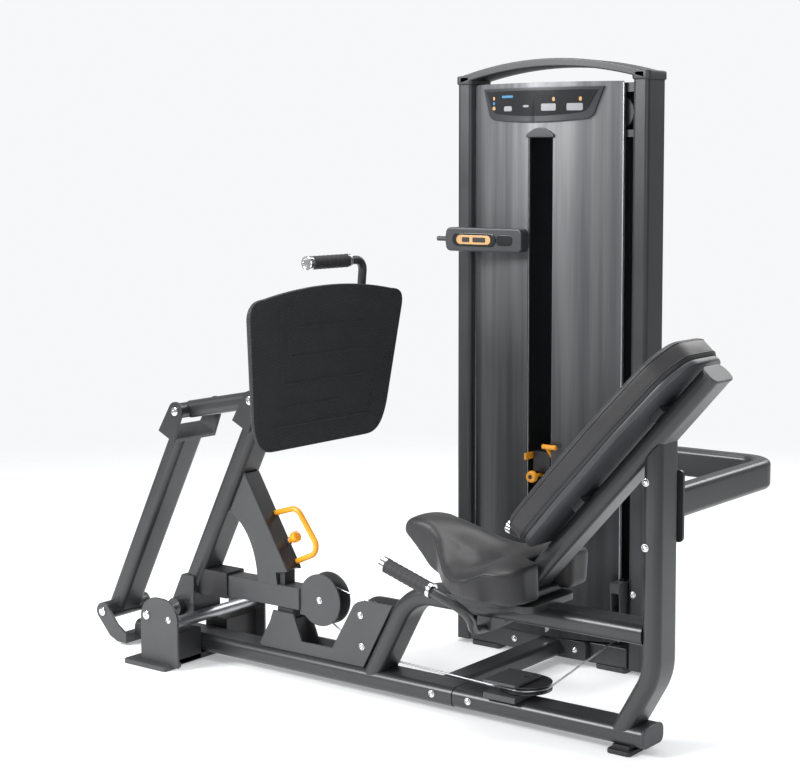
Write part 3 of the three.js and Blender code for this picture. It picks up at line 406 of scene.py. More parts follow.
class Outline:
    """A closed or open line in a plane, in millimetres."""

    def __init__(self, u: float, v: float) -> None:
        """Starts at a point."""
        self.points = [(u, v)]

    def line(self, u: float, v: float) -> "Outline":
        """Adds a straight run."""
        self.points.append((u, v))
        return self

    def arc(self, u: float, v: float, radius: float, start: float, end: float,
            steps: int = 20) -> "Outline":
        """Adds an arc about a centre, between two angles in radians."""
        for k in range(steps + 1):
            a = start + (end - start) * k / steps
            self.points.append((u + radius * math.cos(a), v + radius * math.sin(a)))
        return self

    def cubic(self, *ctrl: float, steps: int = 16) -> "Outline":
        """Adds a Bezier run through two handles to its end."""
        (u0, v0), (a, b, c, d, e, f) = self.points[-1], ctrl
        for k in range(1, steps + 1):
            t, s = k / steps, 1 - k / steps
            w = (s**3, 3 * s * s * t, 3 * s * t * t, t**3)
            self.points.append((w[0] * u0 + w[1] * a + w[2] * c + w[3] * e,
                                w[0] * v0 + w[1] * b + w[2] * d + w[3] * f))
        return self

    def quad(self, a: float, b: float, u: float, v: float, steps: int = 16) -> "Outline":
        """Adds a run with one handle."""
        u0, v0 = self.points[-1]
        return self.cubic(u0 + (a - u0) * 2 / 3, v0 + (b - v0) * 2 / 3,
                          u + (a - u) * 2 / 3, v + (b - v) * 2 / 3, u, v, steps=steps)

    def clean(self) -> list[tuple[float, float]]:
        """Gives the points with no two alike beside each other."""
        kept = []
        for p in self.points:
            if not kept or math.dist(p, kept[-1]) > 0.02:
                kept.append(p)
        if math.dist(kept[0], kept[-1]) < 0.02:
            kept.pop()
        return kept

    @staticmethod
    def rounded(width: float, height: float, radius: float, u: float = 0, v: float = 0,
                steps: int = 6) -> "Outline":
        """Makes a rectangle with round corners."""
        w, h, quarter = width / 2 - radius, height / 2 - radius, math.pi / 2
        made = Outline(u + w + radius, v + h)
        for k, (a, b) in enumerate(((w, h), (-w, h), (-w, -h), (w, -h))):
            made.arc(u + a, v + b, radius, k * quarter, (k + 1) * quarter, steps)
        return made

    @staticmethod
    def softened(corners: list[tuple[float, float]], radius: float) -> "Outline":
        """Makes a polygon whose corners are rounded with a curve."""
        made = None
        for i, (u, v) in enumerate(corners):
            ends = []
            for pu, pv in (corners[i - 1], corners[(i + 1) % len(corners)]):
                run = math.dist((u, v), (pu, pv))
                reach = min(radius, run * 0.45) / run
                ends.append((u + (pu - u) * reach, v + (pv - v) * reach))
            made = made.line(*ends[0]) if made else Outline(*ends[0])
            made.quad(u, v, *ends[1], steps=6)
        return made


def rounded_run(corners: list[Vector], radius: float, steps: int = 12) -> list[Vector]:
    """Rounds the inner corners of a line.

    Args:
        corners: The line's corners.
        radius: The bend radius, in the corners' unit.
        steps: The pieces in each bend.

    Returns:
        The points along the line.
    """
    run = [corners[0]]
    for before, corner, after in zip(corners, corners[1:], corners[2:], strict=False):
        back, ahead = (before - corner).normalized(), (after - corner).normalized()
        half = back.angle(ahead) / 2
        centre = corner + (back + ahead).normalized() * (radius / math.sin(half))
        start = corner + back * (radius / math.tan(half)) - centre
        end = corner + ahead * (radius / math.tan(half)) - centre
        turn = start.rotation_difference(end)
        for k in range(steps + 1):
            part = turn.copy()
            part.angle = turn.angle * k / steps
            run.append(centre + part @ start)
    return [*run, corners[-1]]


# ---------------------------------------------------------------- workshop


class Workshop:
    """Makes finished pieces, and hands each to its body."""

    def __init__(self, datum: Datum, palette: Palette) -> None:
        """Keeps the shared frame and finishes."""
        self.datum = datum
        self.palette = palette
        self.made = 0

    def start(self) -> "Workpiece":
        """Starts an empty workpiece."""
        return Workpiece(self.datum)

    def deliver(self, name: str, mesh: bpy.types.Mesh, body: str, slot: str,
                finish: bpy.types.Material, stands_for: tuple[str, ...] = ()) -> bpy.types.Object:
        """Turns a mesh into a piece of the machine.

        Args:
            name: The piece's name.
            mesh: Its mesh, in place.
            body: The body that it rides on.
            slot: The record's material slot; not used.
            finish: Its material.
            stands_for: The CAD nodes that it replaces.

        Returns:
            The new object.
        """
        made = bpy.data.objects.new(name, mesh)
        bpy.context.scene.collection.objects.link(made)
        mesh.materials.clear()
        mesh.materials.append(finish)
        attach(made, body)
        if stands_for:
            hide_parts(*stands_for)
        self.made += 1
        LOG.info("%s rides on %s, %d faces", name, body, len(mesh.polygons))
        return made

    def finish(self, work: "Workpiece", name: str, body: str, slot: str,
               finish: bpy.types.Material, *stands_for: str) -> bpy.types.Object:
        """Closes a workpiece and delivers it."""
        made = self.deliver(name, work.mesh(name), body, slot, finish, stands_for)
        weigh(made)
        return made

    def refine(self, node: str, body: str, slot: str, finish: bpy.types.Material,
               rim: float = 0.6) -> bpy.types.Object:
        """Replaces a CAD node with a merged, softened copy of its mesh."""
        work = self.start()
        work.bm.from_mesh(bpy.data.objects[node].data)
        bmesh.ops.remove_doubles(work.bm, verts=work.bm.verts[:], dist=0.00002)
        bmesh.ops.dissolve_limit(work.bm, angle_limit=math.radians(0.6), verts=work.bm.verts[:],
                                 edges=work.bm.edges[:])
        if rim:
            work.soften(rim, math.radians(50))
        return self.finish(work, f"{node}_skin", body, slot, finish, node)


def weigh(piece: bpy.types.Object) -> None:
    """Keeps flat faces flat beside small bevels."""
    hold = piece.modifiers.new("flat_faces", "WEIGHTED_NORMAL")
    hold.keep_sharp = True


class Workpiece:
    """A mesh on the bench, shaped with bmesh operators in the rail's frame."""

    def __init__(self, datum: Datum) -> None:
        """Starts with nothing."""
        self.datum = datum
        self.bm = bmesh.new()

    def _toward(self, axis: Vector, origin: Vector) -> Matrix:
        """Gives the placing that turns Z to an axis."""
        return Matrix.Translation(origin) @ axis.to_track_quat("Z", "Y").to_matrix().to_4x4()

    def _rim(self, edges: list, rim: float, segments: int = 2) -> None:
        """Rounds edges over."""
        if rim:
            bmesh.ops.bevel(self.bm, geom=edges, offset=rim * MM, offset_type="OFFSET",
                            segments=segments, profile=0.5, affect="EDGES", clamp_overlap=True,
                            material=-1)

    def soften(self, rim: float, sharper_than: float) -> "Workpiece":
        """Bevels every edge sharper than an angle."""
        edges = [e for e in self.bm.edges
                 if len(e.link_faces) == 2 and e.calc_face_angle(0) > sharper_than
                 and e.calc_length() > 2.2 * rim * MM]
        self._rim(edges, rim, 1)
        return self

    def slab(self, outline: Outline, axis: Axis, low: float, high: float,
             rim: float = 1.5) -> "Workpiece":
        """Adds a plate.

        Args:
            outline: Its shape, in X-Z for axis Y, X-Y for Z and Y-Z for X.
            axis: The direction of its thickness.
            low: Where it starts along the axis.
            high: Where it ends.
            rim: The radius of its edges.

        Returns:
            The workpiece.
        """
        frames = {
            Axis.Y: lambda u, v, w: self.datum.at(u, w, v),
            Axis.Z: lambda u, v, w: self.datum.at(u, v, w),
            Axis.X: lambda u, v, w: self.datum.at(w, u, v),
        }
        verts = [self.bm.verts.new(frames[axis](u, v, low)) for u, v in outline.clean()]
        base = self.bm.faces.new(verts)
        grown = bmesh.ops.extrude_face_region(self.bm, geom=[base], use_keep_orig=True)
        lifted = [v for v in grown["geom"] if isinstance(v, bmesh.types.BMVert)]
        bmesh.ops.translate(self.bm, verts=lifted, vec=axis.value * (high - low) * MM)
        caps = [base, *(f for f in grown["geom"] if isinstance(f, bmesh.types.BMFace)
                        and all(v in lifted for v in f.verts))]
        edges = list({e for cap in caps for e in cap.edges})
        self._rim(edges, min(rim, (high - low) * 0.45))
        return self

    def block(self, x: tuple, y: tuple, z: tuple, rim: float = 2.0) -> "Workpiece":
        """Adds a box with rounded edges."""
        grown = bmesh.ops.create_cube(self.bm, size=1)
        low, high = self.datum.at(x[0], y[0], z[0]), self.datum.at(x[1], y[1], z[1])
        bmesh.ops.scale(self.bm, verts=grown["verts"], vec=high - low)
        bmesh.ops.translate(self.bm, verts=grown["verts"], vec=(high + low) / 2)
        self._rim(list({e for v in grown["verts"] for e in v.link_edges}), rim)
        return self

    def bar(self, start: Vector, end: Vector, radius: float, rim: float = 1.0, sides: int = 40,
            end_radius: float | None = None) -> "Workpiece":
        """Adds a round bar or cone between two points of the model's frame."""
        along = end - start
        grown = bmesh.ops.create_cone(
            self.bm, cap_ends=True, segments=sides, radius1=radius * MM,
            radius2=(radius if end_radius is None else end_radius) * MM, depth=along.length,
            matrix=self._toward(along.normalized(), (start + end) / 2))
        caps = {f for v in grown["verts"] for f in v.link_faces if len(f.verts) == sides}
        self._rim(list({e for f in caps for e in f.edges}), rim)
        return self

    def pin(self, x: float, z: float, radius: float, y: tuple[float, float],
            rim: float = 1.0) -> "Workpiece":
        """Adds a round bar along Y."""
        return self.bar(self.datum.at(x, y[0], z), self.datum.at(x, y[1], z), radius, rim)

    def lathe(self, profile: list[tuple[float, float]], origin: Vector, axis: Vector,
              steps: int = 40) -> "Workpiece":
        """Spins a profile of (radius, height) about an axis."""
        present = set(self.bm.verts)
        verts = [self.bm.verts.new((r * MM, 0, h * MM)) for r, h in profile]
        edges = [self.bm.edges.new(pair) for pair in zip(verts, verts[1:], strict=False)]
        bmesh.ops.spin(self.bm, geom=[*verts, *edges], cent=(0, 0, 0), axis=(0, 0, 1),
                       angle=math.tau, steps=steps, use_merge=True, use_duplicate=False)
        fresh = [v for v in self.bm.verts if v not in present]
        bmesh.ops.transform(self.bm, matrix=self._toward(axis.normalized(), origin), verts=fresh)
        bmesh.ops.remove_doubles(self.bm, verts=fresh, dist=0.000005)
        return self

    def sweep(self, run: list[Vector], outline: Outline, normal: Vector,
              rim: float = 0.0) -> "Workpiece":
        """Carries an outline along a line that lies in one plane.

        Args:
            run: The line's points in the model's frame.
            outline: The section, with its width along the plane's normal.
            normal: The plane's normal.
            rim: The radius at the end faces.

        Returns:
            The workpiece.
        """
        frames = []
        for i, where in enumerate(run):
            back = (where - run[i - 1]).normalized() if i else None
            ahead = (run[i + 1] - where).normalized() if i < len(run) - 1 else None
            along = ((back or ahead) + (ahead or back)).normalized()
            side = normal - along * normal.dot(along)
            side.normalize()
            across = along.cross(side)
            frames.append(Matrix((side, across, along)).transposed().to_4x4())
            frames[-1].translation = where
        ring = [self.bm.verts.new(frames[0] @ Vector((u * MM, v * MM, 0)))
                for u, v in outline.clean()]
        edges = [self.bm.edges.new(pair) for pair in zip(ring, [*ring[1:], ring[0]], strict=True)]
        first = self.bm.faces.new(ring)
        last = first
        for before, after in zip(frames, frames[1:], strict=False):
            grown = bmesh.ops.extrude_edge_only(self.bm, edges=edges)["geom"]
            moved = [v for v in grown if isinstance(v, bmesh.types.BMVert)]
            edges = [e for e in grown if isinstance(e, bmesh.types.BMEdge)]
            bmesh.ops.transform(self.bm, matrix=after @ before.inverted(), verts=moved)
        filled = bmesh.ops.edgeloop_fill(self.bm, edges=edges)
        last = filled["faces"][0]
        self._rim(list({*first.edges, *last.edges}), rim)
        return self

    def trim(self, point: Vector, normal: Vector) -> "Workpiece":
        """Cuts away what lies on the normal's side of a plane, and closes the cut."""
        cut = bmesh.ops.bisect_plane(
            self.bm, geom=[*self.bm.verts, *self.bm.edges, *self.bm.faces], plane_co=point,
            plane_no=normal, clear_outer=True)
        edges = [e for e in cut["geom_cut"] if isinstance(e, bmesh.types.BMEdge)]
        bmesh.ops.edgeloop_fill(self.bm, edges=edges)
        return self

    def turn(self, matrix: Matrix) -> "Workpiece":
        """Moves the whole workpiece."""
        bmesh.ops.transform(self.bm, matrix=matrix, verts=self.bm.verts[:])
        return self

    def mesh(self, name: str) -> bpy.types.Mesh:
        """Closes the workpiece as a mesh with smooth rounds and crisp edges."""
        bmesh.ops.recalc_face_normals(self.bm, faces=self.bm.faces[:])
        made = bpy.data.meshes.new(name)
        self.bm.to_mesh(made)
        self.bm.free()
        made.polygons.foreach_set("use_smooth", [True] * len(made.polygons))
        made.set_sharp_from_angle(angle=SMOOTH_BELOW)
        return made


def lean(origin: Vector, angle: float) -> Matrix:
    """Gives the placing that turns the side plane about a point, from X toward Z."""
    return (Matrix.Translation(origin) @ Matrix.Rotation(-angle, 4, "Y")
            @ Matrix.Translation(-origin))


# ---------------------------------------------------------------- fasteners


@dataclass(frozen=True)
class ButtonBolt:
    """A plated button-head bolt on a washer, with its hexagon socket."""

    x: float
    y: float
    z: float
    way: tuple[float, float, float]
    body: str = "frame"
    head: float = 7.6

    def shape(self, work: Workpiece) -> None:
        """Adds the bolt to a workpiece."""
        foot, out = work.datum.at(self.x, self.y, self.z), Vector(self.way)
        r = self.head
        work.bar(foot - out * MM, foot + out * 1.6 * MM, r * 1.25, 0.4, 32)
        work.lathe([(0, 1.2), (r, 1.2), (r, 2.6), (r * 0.93, 4.2), (r * 0.78, 5.6), (r * 0.55, 6.6),
                    (r * 0.5, 6.7), (r * 0.46, 6.3), (r * 0.46, 3.4), (0, 3.4)], foot, out, 24)


class Fasteners:
    """Every bolt head and pivot cap that shows."""

    def __init__(self, shop: Workshop) -> None:
        """Lays out the bolts by body."""
        self.shop = shop
        near, far = (0.0, -1.0, 0.0), (0.0, 1.0, 0.0)
        rail_near, upright_near = -0.5, 1.5
        self.bolts = [
            ButtonBolt(-592, rail_near, 49, near),
            ButtonBolt(-478, upright_near, 49, near),
            *(ButtonBolt(35, upright_near, z, near) for z in (674, 517)),
            *(ButtonBolt(-1414, y, 143, way) for y, way in ((-135, near), (239, far))),
            *(ButtonBolt(x, 15, z, near) for x, z in ((-841, 215), (-836, 130))),
            *(ButtonBolt(x, 89, z, far) for x, z in ((-841, 215), (-836, 130))),
            *(ButtonBolt(x, 580, 48, near, head=7) for x in (-718, -513)),
            ButtonBolt(-338, 601, 229, near),
        ]

    def build(self) -> None:
        """Makes one piece of bolts for each body."""
        for body in sorted({b.body for b in self.bolts}):
            work = self.shop.start()
            for bolt in self.bolts:
                if bolt.body == body:
                    bolt.shape(work)
            self.shop.finish(work, f"{body}_bolts", body, "chrome", self.shop.palette.chrome)
        self.pulley_bolt()

    def pulley_bolt(self) -> None:
        """Makes the bolt through the lever's pulley."""
        work = self.shop.start()
        for y, way in ((28, (0.0, -1.0, 0.0)), (76, (0.0, 1.0, 0.0))):
            ButtonBolt(-995, y, 230, way).shape(work)
        self.shop.finish(work, "lever_pulley_bolt", "press_arm", "chrome",
                         self.shop.palette.chrome)


# ---------------------------------------------------------------- floor frame


@dataclass
class FloorFrame:
    """The rail, its feet, the seat's tubes and the stop on the rail."""

    shop: Workshop
    tube_width: float = 100.0
    tube_thick: float = 50.0
    corner: float = 20.0
    seat_tube_z: float = 300.0
    upright_x: float = 47.5

    def section(self, grow: float = 0.0) -> Outline:
        """Gives the flat-oval tube's section."""
        return Outline.rounded(self.tube_width + grow, self.tube_thick + grow / 2, self.corner,
                               steps=8)

    def run(self, *corners: tuple[float, float], bend: float = 1.0) -> list[Vector]:
        """Gives a tube's centre line in the side plane."""
        at = self.shop.datum.at
        return rounded_run([at(x, MID_Y, z) for x, z in corners], bend * MM, 14)

    def piece(self, work: Workpiece, node: str, name: str | None = None) -> None:
        """Delivers a frame piece for its CAD node."""
        self.shop.finish(work, name or f"{node}_weldment", "frame", "frame_coat",
                         self.shop.palette.frame, node)

    def build(self) -> None:
        """Makes every piece."""
        self.rails()
        self.feet()
        self.stop()
        self.seat_tubes()
        self.tower_ties()

    def rails(self) -> None:
        """Makes the two lengths of floor rail and the cap on the open end."""
        start = self.shop.start
        self.piece(start().sweep(self.run((RAIL_LEFT, 47), (-530, 47)), self.section(4),
                                 Axis.Y.value, 1.2), "rail_front")
        self.piece(start().sweep(self.run((-529.7, 47), (28, 47)), self.section(), Axis.Y.value,
                                 1.2), "rail_rear")
        cap = start().sweep(self.run((26, 47), (36, 47)), self.section(3), Axis.Y.value, 4.0)
        self.shop.finish(cap, "rail_end_cap", "frame", "black_plastic", self.shop.palette.plastic)

    def feet(self) -> None:
        """Makes the front foot, its cross tube and the rear foot."""
        palette, start = self.shop.palette, self.shop.start
        foot = start()
        for low, high, floor in ((-135, -127, -126.5), (231, 239, 230.5)):
            plate = (Outline(-1525, 8).line(-1380, 8).arc(-1442, 138, 62, 0, math.pi / 2)
                     .arc(-1463, 138, 62, math.pi / 2, math.pi))
            foot.slab(plate, Axis.Y, low, high, 1.6)
            foot.slab(Outline.rounded(166, 71, 10, -1487, floor), Axis.Z, 0, 14, 2.0)
        # A low beam and two tall blocks fill the foot between its plates; their black is painted shade, for
        # the shadowed far plate and cross beam.
        foot_shade_fill = start().block((-1500, -1415), (-128, 232), (3, 20), 1.5)
        for y in ((-128, -1), (105, 232)):
            foot_shade_fill.block((-1500, -1415), y, (3, 96), 3.0)
        self.shop.finish(foot_shade_fill, "front_foot_beam_and_shade_fill", "frame", "cast_iron", palette.iron_and_shade)
        self.shop.finish(foot, "front_foot_weldment", "frame", "frame_coat", palette.plate,
                         "front_foot")
        tie = start().pin(-1418, 128, 17, (-126.7, 230.7), 1.0)
        self.shop.finish(tie, "foot_tie_tube", "frame", "steel", palette.steel, "foot_cross_tube")
        pad = start().slab(Outline.rounded(66, 112, 10, -32, MID_Y), Axis.Z, 0, 12, 3.0)
        pad.block((-55, -9), (10, 94), (11, 21.7), 1.0)
        self.shop.finish(pad, "rear_foot_pad", "frame", "rubber", palette.rubber, "rear_foot")

    def stop(self) -> None:
        """Makes the plates that hold the lever's stop and the cable's end."""
        stop = self.shop.start()
        for low, high in ((15, 23), (81, 89)):
            plate = (Outline(-1198, 73.5).line(-1204, 82).line(-1166, 149).line(-1155, 181)
                     .line(-1080, 181).line(-1050, 108).line(-941, 108).line(-870, 232)
                     .quad(-858, 256, -814, 256).line(-734, 256).line(-832, 73.5))
            stop.slab(plate, Axis.Y, low, high, 1.4)
        stop.block((-1158, -1082), (22, 82), (73, 165), 1.5)
        self.shop.finish(stop, "stop_bracket_weldment", "frame", "frame_coat",
                         self.shop.palette.plate, "stop_bracket")
        self.shop.finish(self.shop.start().slab(Outline.rounded(66, 54, 12, -1119, MID_Y), Axis.Z,
                                                165.3, 191.7, 4.0),
                         "lever_stop_rubber", "frame", "rubber", self.shop.palette.rubber,
                         "lever_bumper")

    def back_plane(self, out: float) -> tuple[Vector, Vector]:
        """Gives a point and the outward normal of a plane along the back tube."""
        normal = Vector((-math.sin(Seat.angle), 0, math.cos(Seat.angle)))
        return self.shop.datum.at(-340, MID_Y, 343) + normal * out * MM, normal

    def seat_tubes(self) -> None:
        """Makes the riser, the upright and the leaning back tube."""
        start, at = self.shop.start, self.shop.datum.at
        riser = start().sweep(self.run((-823, 24), (-675, 300), (25, 300), bend=120),
                              self.section(), Axis.Y.value)
        riser.trim(at(0, 0, 60), Vector((0, 0, -1)))
        riser.slab(Outline.rounded(300, 220, 30, -400, MID_Y), Axis.Z, 322, 340, 2.0)
        self.piece(riser, "seat_riser")
        upright = start().sweep(self.run((-74, -12), (self.upright_x, 204), (self.upright_x, 860),
                                         bend=150), self.section(), Axis.Y.value)
        upright.trim(at(0, 0, 60), Vector((0, 0, -1)))
        upright.trim(*self.back_plane(-20))
        self.piece(upright, "seat_upright")
        back = start().sweep([self.on_back(-120), self.on_back(798)], self.section(),
                             Axis.Y.value, 1.0)
        back.trim(at(0, 0, 310), Vector((0, 0, -1)))
        self.piece(back, "back_tube")
        cap = start().sweep([self.on_back(795), self.on_back(803)], self.section(3),
                            Axis.Y.value, 3.5)
        self.shop.finish(cap, "back_tube_end_cap", "frame", "black_plastic",
                         self.shop.palette.plastic)

    def on_back(self, along: float, out: float = 0.0, y: float = MID_Y) -> Vector:
        """Gives a point measured along the back tube and square to it."""
        c, s = math.cos(Seat.angle), math.sin(Seat.angle)
        return self.shop.datum.at(-340 + along * c - out * s, y, 343 + along * s + out * c)

    def tower_ties(self) -> None:
        """Makes the cross beam at the floor and the bent tie behind the seat."""
        start, at = self.shop.start, self.shop.datum.at
        beam = start().sweep([at(-596.5, 104.3, 47), at(-596.5, 581, 47)],
                             Outline.rounded(46, 73, 12), Axis.Z.value)
        beam.slab(Outline.rounded(270, 54, 10, -612, 47), Axis.Y, 580, 601.7, 2.0)
        self.piece(beam, "crossbeam")
        run = rounded_run([at(47.5, 111, 611), at(47.5, 652, 611), at(-305.7, 652, 611)],
                          75 * MM, 16)
        tie = start().sweep(run, Outline.rounded(76, self.tube_thick, 14), Axis.Z.value)
        tie.slab(Outline.rounded(66, 176, 12, 47.5, 605), Axis.Y, 102.3, 112, 1.6)
        self.piece(tie, "tower_link")


# ---------------------------------------------------------------- seat and back


class Seat:
    """The saddle seat, the back pad, their boards, seams and piping."""

    angle = math.radians(48.2)
    voxel = 0.0055
    pressure = 3.2
    puff = 0.008
    even_rounds = 24

    def __init__(self, shop: Workshop, floor: FloorFrame) -> None:
        """Keeps the shop and the frame that the pads sit on."""
        self.shop = shop
        self.floor = floor

    def build(self) -> None:
        """Makes both pads and what is sewn on or screwed to them."""
        saddle = self.pad("saddle_pad", self.saddle_form(), "seat_pad", 10)
        back = self.pad("back_cushion", self.back_form(), "back_pad", 5)
        self.saddle_seams(saddle)
        self.back_piping(back)
        self.boards()

    @staticmethod
    def along(x: float, stops: list[tuple[float, float]]) -> float:
        """Reads a value between the stops on either side of a place along the rail."""
        for (x0, v0), (x1, v1) in zip(stops, stops[1:], strict=False):
            if x <= x1:
                return v0 + (v1 - v0) * max(0.0, x - x0) / (x1 - x0)
        return stops[-1][1]

    def half_width(self, x: float) -> float:
        """Gives the saddle's half width."""
        return self.along(x, [(-696, 20), (-686, 42), (-660, 57), (-630, 62), (-590, 64),
                              (-556, 80), (-520, 118), (-480, 158), (-440, 188), (-400, 202),
                              (-340, 205), (-290, 200), (-262, 184), (-246, 150)])

    def crown(self, x: float) -> float:
        """Gives the height of the saddle's ridge."""
        return self.along(x, [(-696, 474), (-680, 501), (-650, 512), (-615, 513), (-560, 507),
                              (-500, 492), (-440, 477), (-400, 469), (-340, 458), (-246, 448)])

    def fall(self, x: float) -> float:
        """Gives how far the saddle's sides lie below its ridge."""
        return self.along(x, [(-696, 8), (-600, 12), (-540, 44), (-480, 66), (-420, 64),
                              (-380, 46), (-330, 14), (-246, 2)])

    def belly(self, x: float) -> float:
        """Gives the height of the saddle's underside."""
        return self.along(x, [(-696, 468), (-655, 452), (-603, 410), (-571, 384), (-520, 368),
                              (-440, 359), (-246, 357)])

    def tail(self, across: float, z: float) -> float:
        """Gives where the saddle ends, with a notch for the back tube."""
        t = min(1.0, max(0.0, (abs(across) - 52) / 26))
        side = t * t * (3 - 2 * t)
        return (-373 + (z - 356) * 0.895) * (1 - side) - 246 * side

    def saddle_form(self) -> Workpiece:
        """Shapes the saddle from a dense block."""
        work = self.shop.start()
        bmesh.ops.create_cube(work.bm, size=2)
        bmesh.ops.subdivide_edges(work.bm, edges=work.bm.edges[:], cuts=34, use_grid_fill=True)
        for v in work.bm.verts:
            part, across, up = (v.co.x + 1) / 2, v.co.y, (v.co.z + 1) / 2
            place = -696 + part * 450
            width = self.half_width(place)
            ridge = math.exp(-((across * width / 66) ** 2))
            edge = max(0.0, abs(across) - 0.8) / 0.2
            top = self.crown(place) - self.fall(place) * (1 - ridge) - 10 * edge * edge
            low = self.belly(place)
            z = low + (top - low) * up
            tail = self.tail(across * width, z)
            v.co = work.datum.at(-696 + part * (tail + 696),
                                 MID_Y + across * width * (1 - 0.06 * (1 - up) ** 2), z)
        return work

    def back_outline(self, inset: float = 0.0) -> Outline:
        """Gives the back pad's shape, along the back tube and across it."""
        half = [(150, 106), (190, 150), (320, 158), (570, 153), (748, 134), (810, 84)]
        near = [(u + (inset if u < 200 else -inset if u > 700 else 0), MID_Y - v + inset)
                for u, v in half]
        far = [(u, 2 * MID_Y - v) for u, v in reversed(near)]
        return Outline.softened([*near, *far], 34)

    def back_form(self) -> Workpiece:
        """Shapes the back pad as a thick board that the cover will round."""
        work = self.shop.start()
        work.slab(self.back_outline(4), Axis.Z, 50, 114, 11)
        return work.turn(self.leaning())

    def leaning(self) -> Matrix:
        """Gives the placing from a level board to the back tube's slope."""
        at = self.shop.datum.at
        return (Matrix.Translation(at(-340, 0, 343)) @ Matrix.Rotation(-self.angle, 4, "Y")
                @ Matrix.Translation(-at(0, 0, 0)))

    def pad(self, name: str, form: Workpiece, node: str, rounds: int) -> bpy.types.Object:
        """Turns a rough form into a stuffed, covered pad.

        Args:
            name: The pad's name.
            form: Its rough closed form.
            node: The CAD node that it stands for.
            rounds: How often its corners are eased.

        Returns:
            The pad.
        """
        mesh = form.mesh(name)
        pad = self.shop.deliver(name, mesh, "frame", "vinyl", self.shop.palette.vinyl, (node,))
        bpy.context.view_layer.objects.active = pad
        grain = pad.modifiers.new("even_mesh", "REMESH")
        grain.mode, grain.voxel_size = "VOXEL", self.voxel
        ease = pad.modifiers.new("ease", "SMOOTH")
        ease.factor, ease.iterations = 0.5, rounds
        self.settle(pad)
        self.stuff(pad)
        pad.data.polygons.foreach_set("use_smooth", [True] * len(pad.data.polygons))
        finer = pad.modifiers.new("fine_cover", "SUBSURF")
        finer.levels = finer.render_levels = 1
        return pad

    @staticmethod
    def settle(piece: bpy.types.Object) -> None:
        """Keeps the shape that the modifiers give, and removes them."""
        graph = bpy.context.evaluated_depsgraph_get()
        kept = bpy.data.meshes.new_from_object(piece.evaluated_get(graph))
        old = piece.data
        piece.modifiers.clear()
        piece.data = kept
        bpy.data.meshes.remove(old)

    def stuff(self, pad: bpy.types.Object) -> None:
        """Swells the pad's cover with cloth pressure, outwards and up to a cap."""
        form = [(v.co.copy(), v.normal.copy()) for v in pad.data.vertices]
        cover = pad.modifiers.new("cover", "CLOTH")
        cover.settings.use_pressure = True
        cover.settings.uniform_pressure_force = self.pressure
        cover.settings.effector_weights.gravity = 0
        cover.settings.quality = 5
        cover.point_cache.frame_start, cover.point_cache.frame_end = 1, 16
        scene = bpy.context.scene
        for moment in range(1, 17):
            scene.frame_set(moment)
        self.settle(pad)
        rise = [min(self.puff, max(0.0, (v.co - spot).dot(way)))
                for v, (spot, way) in zip(pad.data.vertices, form, strict=True)]
        rise = self.evened(pad.data, rise)
        for v, (spot, way), lift in zip(pad.data.vertices, form, rise, strict=True):
            v.co = spot + way * lift
        scene.frame_set(1)

    def evened(self, mesh: bpy.types.Mesh, values: list[float]) -> list[float]:
        """Spreads each vertex's value over its neighbours, so that no crease is left."""
        beside = [[] for _ in values]
        for edge in mesh.edges:
            a, b = edge.vertices
            beside[a].append(b)
            beside[b].append(a)
        for _ in range(self.even_rounds):
            values = [(value + sum(values[k] for k in near)) / (1 + len(near))
                      for value, near in zip(values, beside, strict=True)]
        return values

    def stitch(self, name: str, run: list[Vector], pad: bpy.types.Object, radius: float,
               closed: bool) -> None:
        """Sews a round cord onto a pad.

        Args:
            name: The piece's name.
            run: The points that it follows, near the pad.
            pad: The pad that it lies on.
            radius: Its radius in millimetres.
            closed: Whether it ends where it starts.
        """
        graph = bpy.context.evaluated_depsgraph_get()
        tree = BVHTree.FromObject(pad, graph)
        curve = bpy.data.curves.new(name, "CURVE")
        curve.dimensions, curve.bevel_depth, curve.bevel_resolution = "3D", radius * MM, 3
        curve.use_fill_caps = True
        line = curve.splines.new("NURBS")
        snapped = [tree.find_nearest(p)[0] for p in run]
        line.points.add(len(snapped) - 1)
        for spot, where in zip(line.points, snapped, strict=True):
            spot.co = (*where, 1)
        line.use_cyclic_u, line.use_endpoint_u, line.order_u = closed, True, 4
        holder = bpy.data.objects.new(f"{name}_line", curve)
        mesh = bpy.data.meshes.new_from_object(holder)
        bpy.data.objects.remove(holder)
        mesh.polygons.foreach_set("use_smooth", [True] * len(mesh.polygons))
        self.shop.deliver(name, mesh, "frame", "vinyl", self.shop.palette.piping)

    def saddle_seams(self, pad: bpy.types.Object) -> None:
        """Sews a seam along each of the saddle's shoulders."""
        for side, label in ((-1, "near"), (1, "far")):
            run = []
            for k in range(30):
                x = -560 + k * 10.2
                run.append(self.shop.datum.at(x, MID_Y + side * self.half_width(x) * 0.985,
                                              self.crown(x) - self.fall(x) - 14))
            self.stitch(f"saddle_seam_{label}", run, pad, 1.6, False)

    def back_piping(self, pad: bpy.types.Object) -> None:
        """Sews two cords round the back pad's side."""
        for level, label in ((62, "lower"), (104, "upper")):
            level_run = [self.shop.datum.at(u, v, level) for u, v in self.back_outline().clean()]
            run = [self.leaning() @ p for p in level_run]
            self.stitch(f"back_piping_{label}", run, pad, 1.9, True)

